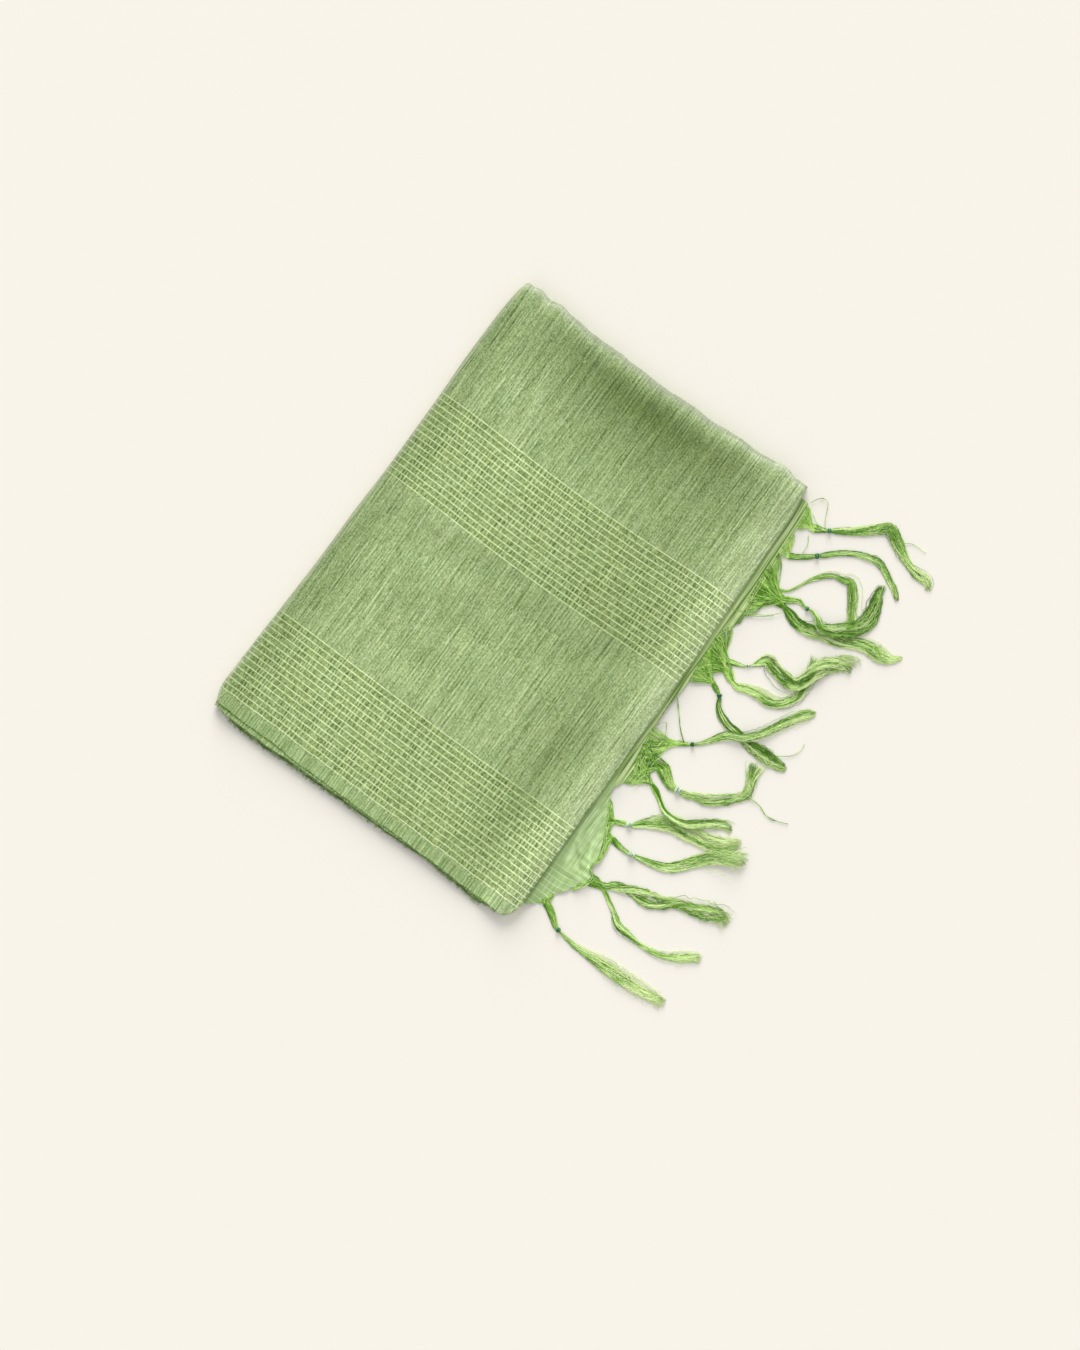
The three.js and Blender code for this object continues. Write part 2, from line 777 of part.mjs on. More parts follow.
const clothFinish = new THREE.MeshStandardMaterial({
  color: 0x9eb17b,
  roughness: 0.55,
  metalness: 0.05,
  side: THREE.DoubleSide,
});
const endFinish = new THREE.MeshStandardMaterial({ color: 0xb4cc94, roughness: 0.6, metalness: 0.05 });
const yarnFinish = new THREE.MeshStandardMaterial({ color: 0x86b04e, roughness: 0.5, metalness: 0.05 });

const sari = new THREE.Group();
sari.name = "folded_silk_sari";

function add(name, geometry, material) {
  const mesh = new THREE.Mesh(geometry, material);
  mesh.name = name;
  geometry.computeVertexNormals();
  sari.add(mesh);
}

add("outer_stretch", outerStretch(), clothFinish);
add("hidden_layers", hiddenLayers(), clothFinish);
add("end_piece", endPiece(), endFinish);
for (const row of TASSELS) add(row.name, tassel(row), yarnFinish);

export default sari;
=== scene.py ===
"""A silk sari folded flat on a pale surface, with its knotted fringe lying loose at one side."""

import math

import bpy
import numpy as np
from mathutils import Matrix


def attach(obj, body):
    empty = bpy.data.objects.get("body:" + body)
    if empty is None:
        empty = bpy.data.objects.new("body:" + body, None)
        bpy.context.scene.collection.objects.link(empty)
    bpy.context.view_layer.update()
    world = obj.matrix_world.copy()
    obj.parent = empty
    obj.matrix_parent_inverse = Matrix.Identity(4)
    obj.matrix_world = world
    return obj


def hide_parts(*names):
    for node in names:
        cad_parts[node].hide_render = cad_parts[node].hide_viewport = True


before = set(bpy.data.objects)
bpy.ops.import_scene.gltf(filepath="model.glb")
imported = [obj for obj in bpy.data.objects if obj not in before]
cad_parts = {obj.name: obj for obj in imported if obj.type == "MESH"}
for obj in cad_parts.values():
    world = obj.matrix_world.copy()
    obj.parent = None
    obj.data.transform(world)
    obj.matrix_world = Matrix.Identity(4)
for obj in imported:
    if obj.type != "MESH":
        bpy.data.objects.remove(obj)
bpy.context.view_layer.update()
MM = 0.001

# ---- The surface, the light and the camera --------------------------------------------------
# The bundle lies on a plain pale board. Soft daylight falls low from one side, and the camera
# looks straight down from above, with the bundle turned in its view.

TURNED = math.radians(36)  # how far the camera's right is turned from +X
VIEW_CENTRE = (71.8 * MM, -52.9 * MM)
VIEW_HEIGHT = 1.4715  # metres of board that the camera takes in, from foot to head
LENS = 85.0
SENSOR = 36.0
BOARD_SIZE = 9.0
BOARD_DROP = 0.1 * MM  # so that the cloth's underside and the board aren't one face


def srgb(red, green, blue):
    """A colour as seen on a screen, 0 to 255, as the linear light a shader takes."""
    shares = (np.array([red, green, blue]) / 255.0).tolist()
    return [s / 12.92 if s <= 0.04045 else ((s + 0.055) / 1.055) ** 2.4 for s in shares] + [1.0]


camera = bpy.data.objects.new("camera", bpy.data.cameras.new("camera"))
bpy.context.collection.objects.link(camera)
camera.data.lens = LENS
camera.data.sensor_width = SENSOR
camera.location = (*VIEW_CENTRE, VIEW_HEIGHT * LENS / SENSOR)
camera.rotation_euler = (0, 0, TURNED)
bpy.context.scene.camera = camera
bpy.context.scene.view_settings.view_transform = "Standard"

BOARD_COLOUR = srgb(249, 244, 234)
SKY = 0.64  # light from all round
SKY_COLOUR = (0.99, 1.0, 1.0, 1.0)
DAYLIGHT = 3.02
DAYLIGHT_COLOUR = (1.0, 0.995, 0.98)
DAYLIGHT_HEIGHT = math.radians(22)  # above the horizon
DAYLIGHT_SPREAD = math.radians(40)

world = bpy.data.worlds.new("soft_room")
bpy.context.scene.world = world
world.use_nodes = True
sky = world.node_tree.nodes["Background"]
sky.inputs["Color"].default_value = SKY_COLOUR
sky.inputs["Strength"].default_value = SKY

daylight = bpy.data.objects.new("daylight", bpy.data.lights.new("daylight", "SUN"))
bpy.context.collection.objects.link(daylight)
daylight.data.energy = DAYLIGHT
daylight.data.angle = DAYLIGHT_SPREAD
daylight.data.color = DAYLIGHT_COLOUR
daylight.rotation_euler = (math.pi / 2 - DAYLIGHT_HEIGHT, 0, TURNED + math.pi)

bpy.ops.mesh.primitive_plane_add(size=BOARD_SIZE, location=(0, 0, -BOARD_DROP))
board = bpy.context.active_object
board.name = "board"
board_finish = bpy.data.materials.new("pale_board")
board_finish.use_nodes = True
board_shader = board_finish.node_tree.nodes["Principled BSDF"]
board_shader.inputs["Base Color"].default_value = BOARD_COLOUR
board_shader.inputs["Roughness"].default_value = 0.9
board.data.materials.append(board_finish)

# ---- The last stretch, which wraps the bundle -------------------------------------------------
# One length of slubby handloom silk, folded once along its length, so that it is two plies thick.
# It tucks in at +X, lies under the bundle, turns up round -X, lies over the top and tucks in
# again at +X. Its selvedges part a little at -Y, and it is rounded where it is folded at +Y.

HALF_WIDTH = 567.0  # millimetres of cloth from the selvedge to the lengthwise fold
FOLDED_WIDTH = 575.0  # from the selvedges at -Y to the lengthwise fold at +Y, as it lies
MIDDLE_THICK = 9.0
LAST_STRETCH_THICK = 2.35  # with its ease, what it takes up above and below the layers inside
RISE_RIGHT = 2.2
RISE_LEFT = 1.8
RISE_FOLD = 5.2
# How far in from an edge its rise begins to fall off, and where it ends.
RIGHT_RAMP = (11, 38)
LEFT_RAMP = (10, 40)
FOLD_RAMP = (14, 95)
CREASE_RAMP = (12, 40)  # the creases die out toward the turns
ROUND_OFF = 11.0  # how far from the lengthwise fold the top begins to roll down to it
ROUND_DROP = 2.6
ROUND_SHARE = 0.93  # so that the roll stops short of upright
THIN_SELVEDGE = {"by": 0.9, "reach": 40.0}
TURN_RADIUS = 2.15
TUCK = 14.0
INNER_TUCK = 16.5  # the layers inside end a little further in
PLY_APART = 0.95  # from the outer ply to the inner one
PLY_CLOSER = {"share": 0.62, "reach": (4, 40)}  # the two plies lie closer at their selvedges
UNDER_WOBBLE = -0.8  # the inner ply's selvedge is uneven the other way
WOBBLE_PITCHES = (0.7, 1.1, 1.7, 2.9, 4.3, 9.0, 17.0)
FOLD_ANGLES = np.radians([30, 60, 90, 120, 150])  # round the lengthwise fold, ply to ply
EDGE_EASE = 46.0  # how far in the warp follows an uneven edge
PLY_THICK = 0.3
CREASE_ANGLE = math.radians(50)  # a sharper corner of the cloth isn't shaded smooth
# The lines that the outermost warp keeps where it lies true; at the fold it bows toward its ends.
SELVEDGE_LINE = {"at": -285.9, "slope": -0.0165}
FOLD_LINE = {"at": 280.7, "slope": 0.0137, "bow": 0.00031, "bow_ends": 190}
LEFT_EDGE = {
    "y": [-289, -281, -275, -268, -250, -204, -175, -151, -120, -98, -60, -22, 2, 31, 78, 114, 145,
          178, 220, 243, 262, 279, 285],
    "x": [-196.2, -197.4, -200.6, -202.4, -202.2, -201, -200, -199.2, -198, -197.4, -197.1, -197,
          -196.2, -195.4, -195.5, -195.6, -196, -197, -196.5, -196, -194.8, -193, -190.8],
}
RIGHT_EDGE = {
    "y": [-290, -286, -282, -276, -267, -240, -218, -153, -120, -81, -50, -22, 5, 31, 72, 109, 140,
          164, 218, 250, 272, 284],
    "x": [191.5, 195, 198.6, 201, 202.4, 202, 201.6, 200.9, 200.9, 200.2, 199.6, 199.9, 198.9,
          198.1, 197.6, 196.4, 195.4, 195, 193.2, 191.6, 189.4, 187.3],
}
SELVEDGES = {
    "x": [-200, -185, -172, -150, -120, -108, -98, -80, -50, -20, 10, 35, 60, 78, 100, 122, 145,
          163, 169, 185, 200],
    "top": [-282.3, -282.7, -283.3, -283.6, -283.4, -283.8, -284.6, -285, -285.2, -285.6, -285.8,
            -285.4, -285.7, -286.3, -286, -286.6, -287.4, -287.6, -287.6, -288.2, -287],
    "under": [-287, -287.8, -289, -289.4, -289.6, -289.4, -288.4, -288.3, -288.1, -287.8, -288,
              -288.2, -287.2, -287.2, -287.4, -288, -288.6, -289, -288.7, -288.6, -286],
    "hidden": [-285, -287, -292.4, -294, -294.2, -293.2, -292.6, -293, -292.4, -291.4, -291.8,
               -291.2, -290, -288.8, -289.6, -291.2, -292.6, -293.8, -290.2, -289.2, -285],
}
FOLD_EDGE = {
    "x": [-197, -191, -188, -182, -175, -170, -164, -158, -152, -145, -139, -133, -125, -118, -110,
          -103, -95, -85, -75, -68, -59, -50, -40, -30, -20, -10, 6, 15, 25, 40, 50, 60, 70, 80,
          90, 98, 106, 115, 126, 131, 140, 149, 156, 163, 170, 176, 183, 187, 190],
    "y": [281.5, 282.8, 285, 284.6, 287, 286.6, 284.8, 283.9, 285, 286.5, 285.6, 284.1, 283.5,
          283.1, 282.2, 281.2, 281.3, 281, 281.6, 281.4, 281.7, 280.4, 280.5, 280.6, 279.9, 279.5,
          279.6, 280.5, 281.1, 281.7, 281, 280.4, 281.2, 282.6, 283, 283.7, 283.4, 283.1, 283.2,
          284.1, 284.9, 287.1, 287.3, 286, 283.8, 284, 283.9, 283.4, 282],
}
# Soft creases across the top, from one point to another; a negative rise is a trough.
CREASES = [
    {"start": (-281, -55), "end": (45, 27), "rise": -1.76, "wide": 18},
    {"start": (-106, -103), "end": (80, -10), "rise": -2.20, "wide": 20},
    {"start": (-64, -67), "end": (26, -92), "rise": 1.06, "wide": 16},
    {"start": (167, -351), "end": (128, -14), "rise": -2.20, "wide": 20},
    {"start": (-185, 257), "end": (-98, 153), "rise": 2.20, "wide": 20},
    {"start": (-94, 114), "end": (-32, 92), "rise": 1.18, "wide": 20},
    {"start": (-83, -133), "end": (-10, -107), "rise": -2.20, "wide": 20},
    {"start": (-162, 256), "end": (178, 250), "rise": -2.20, "wide": 14},
    {"start": (91, 152), "end": (82, 303), "rise": 1.71, "wide": 14},
    {"start": (18, -52), "end": (175, 33), "rise": -2.06, "wide": 20},
    {"start": (-296, 23), "end": (7, 20), "rise": 1.60, "wide": 20},
    {"start": (-43, -25), "end": (64, 1), "rise": -2.20, "wide": 20},
    {"start": (-94, -142), "end": (14, -163), "rise": 1.36, "wide": 20},
    {"start": (9, 95), "end": (246, 154), "rise": -0.73, "wide": 20},
]
# Patches of painted shade (below 0) and painted light (above 0) over the top, where its folds
# face from the light or toward it: the middle, the reach along and across, and how much.
PAINTED_LIGHT_SHADE_PATCHES = [
    {"at": (2, 247), "turned": -1, "reach": (150, 25), "tone": -0.530},
    {"at": (14, 204), "turned": -3, "reach": (128, 43), "tone": -0.233},
    {"at": (180, -29), "turned": 90, "reach": (352, 29), "tone": 0.300},
    {"at": (-189, -22), "turned": 91, "reach": (337, 23), "tone": -0.207},
    {"at": (151, -110), "turned": 80, "reach": (133, 36), "tone": -0.312},
    {"at": (-110, 166), "turned": 29, "reach": (31, 103), "tone": 0.150},
    {"at": (106, 43), "turned": -10, "reach": (93, 108), "tone": -0.187},
    {"at": (-84, -181), "turned": -5, "reach": (56, 66), "tone": 0.112},
]
# Painted shade along the turn at -X, and a painted shadow on the inner ply under the edge of the
# ply above, along the selvedges.
TURN_PAINTED_SHADE = [{"tone": -0.2, "reach": 7.0}, {"tone": -0.24, "reach": 3.0}]
UNDER_PLY_PAINTED_SHADOW = {"tone": -0.75, "reach": 1.4}
# A painted sheen of pale grey along the lengthwise fold and along both turns: how much, how far.
FOLD_PAINTED_SHEEN = {"share": 0.5, "reach": 6.5}
RIDGE_PAINTED_SHEEN = {"share": 0.1, "reach": 26.0}
TURN_PAINTED_SHEEN = {"share": 0.36, "reach": 4.2}
# Small rumples of no set place, all over the top.
RUMPLES = {"count": 70, "seed": 7, "heading": (35, 50), "long": (25, 80), "wide": (5, 12), "rise": 0.16}


def curve(table, key, value):
    """A table read as one smooth curve: the column value against the column key."""
    at_key = np.array(table[key], float)
    held = np.array(table[value], float)
    slope = np.gradient(held, at_key)
    slope[1:-1] = (held[2:] - held[:-2]) / (at_key[2:] - at_key[:-2])

    def read(at):
        at = np.clip(at, at_key[0], at_key[-1])
        i = np.clip(np.searchsorted(at_key, at, side="right") - 1, 0, len(at_key) - 2)
        gap = at_key[i + 1] - at_key[i]
        t = (at - at_key[i]) / gap
        pull = (slope[i] * (1 - t) - slope[i + 1] * t) * gap * t * (1 - t)
        return held[i] + (held[i + 1] - held[i]) * t * t * (3 - 2 * t) + pull

    return read


def straight_yarn(x, share):
    """The y of a warp yarn that lies true, at a share of the way from selvedge to fold."""
    bow = FOLD_LINE["bow"] * x**2 / (1 + (x / FOLD_LINE["bow_ends"]) ** 6)
    low = SELVEDGE_LINE["at"] + SELVEDGE_LINE["slope"] * x
    high = FOLD_LINE["at"] + FOLD_LINE["slope"] * x + bow
    return low + (high - low) * share


left_edge = curve(LEFT_EDGE, "y", "x")
right_edge = curve(RIGHT_EDGE, "y", "x")
top_selvedge = curve(SELVEDGES, "x", "top")
under_selvedge = curve(SELVEDGES, "x", "under")
hidden_selvedge = curve(SELVEDGES, "x", "hidden")
fold_edge = curve(FOLD_EDGE, "x", "y")


def ramp(at, low, high):
    """0 below low, 1 above high, and a smooth rise between."""
    t = np.clip((at - low) / (high - low), 0, 1)
    return t * t * (3 - 2 * t)


def near(off, reach):
    """1 at no distance, and a smooth fall to nothing past the reach."""
    return np.exp(-((off / reach) ** 2))


def crease_rise(x, y, start, end, rise, wide):
    """How much one soft crease lifts or lowers the cloth at each point."""
    run = (end[0] - start[0], end[1] - start[1])
    long = math.hypot(*run)
    along = ((x - start[0]) * run[0] + (y - start[1]) * run[1]) / long**2
    off = ((x - start[0]) * run[1] - (y - start[1]) * run[0]) / long
    fade = ramp(along, -0.1, 0.25) * (1 - ramp(along, 0.75, 1.1))
    return rise * fade * near(off, wide)


rumple_dice = np.random.default_rng(RUMPLES["seed"])
rumples = []
for _ in range(RUMPLES["count"]):
    start = (rumple_dice.uniform(-180, 170), rumple_dice.uniform(-270, 260))
    heading = math.radians(rumple_dice.normal(*RUMPLES["heading"]))
    long = rumple_dice.uniform(*RUMPLES["long"])
    end = (start[0] + long * math.cos(heading), start[1] + long * math.sin(heading))
    rise = rumple_dice.normal(0, RUMPLES["rise"])
    wide = rumple_dice.uniform(*RUMPLES["wide"])
    rumples.append({"start": start, "end": end, "rise": rise, "wide": wide})


def top_height(x, y):
    """The height of the bundle's top: thick at its folds, hollow between them, softly creased."""
    from_right = right_edge(y) - x
    from_left = x - left_edge(y)
    from_fold = fold_edge(x) - y
    from_selvedge = y + FOLDED_WIDTH / 2
    turns = RISE_RIGHT * (1 - ramp(from_right, *RIGHT_RAMP))
    turns += RISE_LEFT * (1 - ramp(from_left, *LEFT_RAMP))
    fold = RISE_FOLD * (1 - ramp(from_fold, *FOLD_RAMP))
    thinner = THIN_SELVEDGE["by"] * (1 - ramp(from_selvedge, 0, THIN_SELVEDGE["reach"]))
    near_fold = np.clip(1 - from_fold / ROUND_OFF, 0, 1)
    rounded_off = ROUND_DROP * (1 - np.sqrt(1 - ROUND_SHARE * near_fold**2))
    height = MIDDLE_THICK + np.hypot(turns, fold) - thinner - rounded_off
    flat_enough = ramp(np.minimum(from_right, from_left), *CREASE_RAMP)
    for crease in CREASES + rumples:
        height = height + crease_rise(x, y, **crease) * flat_enough
    return height


def painted_light_shade_at(x, y):
    """How much painted shade (below 0) or painted light (above 0) the cloth carries at each point."""
    total = np.zeros(np.broadcast(x, y).shape)
    for tone in PAINTED_LIGHT_SHADE_PATCHES:
        turned = math.radians(tone["turned"])
        off_x, off_y = x - tone["at"][0], y - tone["at"][1]
        along = (off_x * math.cos(turned) + off_y * math.sin(turned)) / tone["reach"][0]
        across = (off_x * math.sin(turned) - off_y * math.cos(turned)) / tone["reach"][1]
        total += tone["tone"] * np.exp(-(along**2) - across**2)
    for rim in TURN_PAINTED_SHADE:
        total += rim["tone"] * near(x - left_edge(y), rim["reach"])
    return total


def painted_sheen_at(x, y):
    """How much painted sheen the cloth carries at each point, from 0 to 1."""
    at_fold = FOLD_PAINTED_SHEEN["share"] * near(fold_edge(x) - y, FOLD_PAINTED_SHEEN["reach"])
    at_turn = TURN_PAINTED_SHEEN["share"] * near(x - left_edge(y), TURN_PAINTED_SHEEN["reach"])
    at_ridge = RIDGE_PAINTED_SHEEN["share"] * near(right_edge(y) - x, RIDGE_PAINTED_SHEEN["reach"])
    return np.maximum(np.maximum(at_fold, at_turn), at_ridge)


def eased(count, even=0.6):
    """count shares from 0 to 1, closer together at both ends."""
    t = np.linspace(0, 1, count)
    return even * t + (1 - even) * (1 - np.cos(np.pi * t)) / 2


def wrap_path(y, counts, inset=0.0, tucked=True):
    """The way of the cloth round the bundle, at each y: x, z, and the direction that is outside.

    Each comes back as one row for each station and one column for each y. An inset path keeps
    inside the outer one, by that share of the half thickness within the last stretch.
    """
    right = right_edge(y)
    left = left_edge(y)
    big = top_height(left + MIDDLE_THICK / 2, y) / 2
    big_x = left + big
    rows = []

    def sunk_by(half):
        """How far inside the outer path this one keeps, where half the thickness is half."""
        return 0.0 if tucked else LAST_STRETCH_THICK + inset * (half - LAST_STRETCH_THICK)

    def lay(x, z, out_x, out_z):
        """One station of the path."""
        rows.append([np.broadcast_to(v, y.shape) for v in (x, z, out_x, out_z)])

    def turn(x, z, radius, start, stop, count):
        """Stations round a middle, from one angle to another, in half turns."""
        for share in np.linspace(0, 1, count + 1)[1:-1]:
            angle = math.pi * (start + (stop - start) * share)
            c, s = math.cos(angle), math.sin(angle)
            lay(x + radius * c, z + radius * s, c, s)

    if tucked:
        turn_x = right - TURN_RADIUS
        for share in eased(counts["tuck"]):
            lay(right - TUCK + (TUCK - TURN_RADIUS) * share, 2 * TURN_RADIUS, 0, 1)
        turn(turn_x, TURN_RADIUS, TURN_RADIUS, 0.5, -0.5, counts["turn"])
        low = 0.0
        end_x = turn_x
    else:
        end_x = right - INNER_TUCK
        low = sunk_by(MIDDLE_THICK / 2)
    radius = big - sunk_by(big)
    for share in eased(counts["floor"]):
        lay(end_x + (big_x - end_x) * share, low * (1 - share) + (big - radius) * share, 0, -1)
    turn(big_x, big, radius, 1.5, 0.5, counts["great_turn"])
    for share in eased(counts["top"], 0.9):
        x = big_x + (end_x - big_x) * share
        height = top_height(x, y)
        lay(x, height - sunk_by(height / 2), 0, 1)
    if tucked:
        height = top_height(turn_x, y)
        turn(turn_x, height - TURN_RADIUS, TURN_RADIUS, 0.5, -0.5, counts["turn"])
        for share in eased(counts["tuck"])[::-1]:
            x = right - TUCK + (TUCK - TURN_RADIUS) * share
            lay(x, top_height(x, y) - 2 * TURN_RADIUS, 0, -1)
    return [np.array([row[k] for row in rows]) for k in range(4)]


def doubled_cloth(path, across, selvedges, apart, fold_in=0.4, wobble=0.35, lean=0.0, seed=1):
    """Points and UVs of cloth folded along its length, as a grid: stations by columns.

    across holds the shares of the way from the selvedge to the fold, for the outer ply and for
    the inner one. selvedges are the two plies' own edges. The UVs are metres of cloth.
    """
    x, z, out_x, out_z = path
    count = across[0].size
    mid_x, mid_z = x.mean(axis=1), z.mean(axis=1)
    along = np.concatenate([[0], np.cumsum(np.hypot(np.diff(mid_x), np.diff(mid_z)))])
    dice = np.random.default_rng(seed)
    shake = sum(
        dice.uniform(0.2, 0.5) * np.sin(along[:, None] / pitch + dice.uniform(0, 6.3))
        for pitch in WOBBLE_PITCHES
    )
    columns = []
    texture = []
    for ply, shares in enumerate(across):
        part = slice(count) if ply == 0 else slice(count, None)
        closer = PLY_CLOSER["share"]
        closed = closer + (1 - closer) * ramp(shares * HALF_WIDTH, *PLY_CLOSER["reach"])
        px = x[:, part] - apart * ply * closed * out_x[:, part]
        pz = z[:, part] - apart * ply * closed * out_z[:, part]
        low = selvedges[ply](px) + wobble * shake * (1, UNDER_WOBBLE)[ply] + lean * pz
        high = fold_edge(px) - fold_in
        # Only the last of the cloth follows its uneven edges; the warp between runs straight.
        near_low = 1 - ramp(shares * HALF_WIDTH, 0, EDGE_EASE)
        near_high = 1 - ramp((1 - shares) * HALF_WIDTH, 0, EDGE_EASE)
        py = straight_yarn(px, shares)
        py += (low - straight_yarn(px, 0)) * near_low + (high - straight_yarn(px, 1)) * near_high
        columns.append(np.stack([px, py, pz], axis=-1))
        v = shares * HALF_WIDTH if ply == 0 else (2 - shares) * HALF_WIDTH
        texture.append(np.broadcast_to(v, px.shape))
    outer, inner = columns
    round_steps = []
    for angle in FOLD_ANGLES:
        middle = (outer[:, -1] + inner[:, 0]) / 2
        half = (outer[:, -1] - inner[:, 0]) / 2
        point = middle + half * math.cos(angle)
        point[:, 1] += apart / 2 * math.sin(angle)
        round_steps.append(point)
    points = np.concatenate([outer, np.stack(round_steps, axis=1), inner], axis=1)
    v_round = np.full((len(x), len(round_steps)), HALF_WIDTH)
    v = np.concatenate([texture[0], v_round, texture[1]], axis=1)
    # The weft lies straight across, so an edge that curves cuts over it.
    run = np.gradient(mid_x) / np.gradient(along)
    u = (along - along.max() / 2)[:, None] + (points[:, :, 0] - mid_x[:, None]) * run[:, None]
    return points * MM, np.stack([u, v], axis=-1) * MM


def mesh_object(name, vertices, faces, uvs, values):
    """One mesh object, with a UV and each of the named values at every vertex."""
    mesh = bpy.data.meshes.new(name)
    mesh.from_pydata(vertices.tolist(), [], faces)
    layer = mesh.uv_layers.new(name="cloth")
    layer.data.foreach_set("uv", uvs[np.concatenate(faces)].astype(np.float32).reshape(-1))
    for value_name, numbers in values.items():
        value = mesh.attributes.new(value_name, "FLOAT", "POINT")
        value.data.foreach_set("value", numbers.astype(np.float32))
    made = bpy.data.objects.new(name, mesh)
    bpy.context.collection.objects.link(made)
    return made


def cloth_object(name, grids, thick, toned):
    """One mesh object of cloth from grids of points and UVs, with its ply's thickness.

    The last argument gives the named values that the finish reads, from x, y and the place
    across the cloth: painted light, shade, shadow and sheen.
    """
    vertices, faces, uvs = [], [], []
    start = 0
    for points, uv in grids:
        rows, columns = points.shape[:2]
        vertices.append(points.reshape(-1, 3))
        uvs.append(uv.reshape(-1, 2))
        first = start + np.arange(rows - 1)[:, None] * columns + np.arange(columns - 1)
        corners = [first, first + columns, first + columns + 1, first + 1]
        faces.append(np.stack(corners, axis=-1).reshape(-1, 4))
        start += rows * columns
    vertices, uvs, faces = (np.concatenate(part) for part in (vertices, uvs, faces))
    values = toned(vertices[:, 0] / MM, vertices[:, 1] / MM, uvs[:, 1] / MM)
    cloth = mesh_object(name, vertices, faces.tolist(), uvs, values)
    bpy.ops.object.select_all(action="DESELECT")
    bpy.context.view_layer.objects.active = cloth
    cloth.select_set(True)
    ply = cloth.modifiers.new("ply", "SOLIDIFY")
    ply.thickness = thick * MM
    ply.offset = -1
    bpy.ops.object.modifier_apply(modifier="ply")
    bpy.ops.object.shade_smooth_by_angle(angle=CREASE_ANGLE)
    return cloth


def level(share):
    """The y that a share of the way from the selvedges to the fold stands for."""
    return FOLDED_WIDTH * (share - 0.5)


# Where the plies have their columns, as shares of the way from selvedge to fold.
OUTER_SHARES = np.unique(np.concatenate([np.linspace(0, 1, 132), 1 - np.array([1, 3, 5, 8]) / 900]))
INNER_SHARES = np.array(
    [1, 0.995, 0.985, 0.97, 0.93, 0.85, 0.7, 0.5, 0.3, 0.15, 0.07, 0.03, 0.016, 0.0128, 0.0104,
     0.0088, 0.0072, 0.0056, 0.004, 0.002, 0]
)
WRAP_COUNTS = {"tuck": 4, "turn": 10, "floor": 26, "great_turn": 14, "top": 176}
wrap_levels = level(np.concatenate([OUTER_SHARES, INNER_SHARES]))
wrap_grid = doubled_cloth(
    wrap_path(wrap_levels, WRAP_COUNTS),
    (OUTER_SHARES, INNER_SHARES),
    (top_selvedge, under_selvedge),
    PLY_APART,
    wobble=0.5,
)


def wrap_painted_values(x, y, across):
    """The last stretch's painted light and shade, its painted shadow under the upper ply's
    selvedge, and its painted sheen along the folds.
    """
    # painted shadow on the inner ply, just under the outer ply's selvedge
    under = near(y - top_selvedge(x) + 0.4, UNDER_PLY_PAINTED_SHADOW["reach"])
    painted_light_shade = painted_light_shade_at(x, y) + UNDER_PLY_PAINTED_SHADOW["tone"] * under * (across > HALF_WIDTH)
    return {"painted_light_shade": painted_light_shade, "painted_sheen": painted_sheen_at(x, y)}


wrap = cloth_object("last_stretch", [wrap_grid], PLY_THICK, wrap_painted_values)

SILK = srgb(161, 184, 123)
SILK_DARK = srgb(100, 124, 64)
SILK_LIGHT = srgb(208, 226, 172)
STRIPE = srgb(234, 250, 197)
GROUND = srgb(147, 171, 102)
GROUND_DARK = srgb(88, 113, 50)
GROUND_LIGHT = srgb(198, 220, 154)
# The pale grey of the painted sheen along the folds and turns.
PAINTED_SHEEN_GREY = srgb(216, 214, 202)
SHEEN = srgb(206, 226, 158)
SELVEDGE_GREEN = srgb(154, 181, 117)
REED_PITCH = 4.2  # of the faint ribs that the beating-up leaves across the cloth
STRIPE_PITCH = 6.96 * MM
STRIPE_BANDS = [16.5 * MM, 312.0 * MM]  # from the selvedge to each band's first stripe
STRIPES_IN_BAND = 16
STRIPE_HALF = 0.62 * MM
STRIPE_SWAY = 0.9 * MM  # how far a stripe wanders from its line
WEFT_PITCH = 0.62 * MM
WARP_PITCH = 0.58 * MM


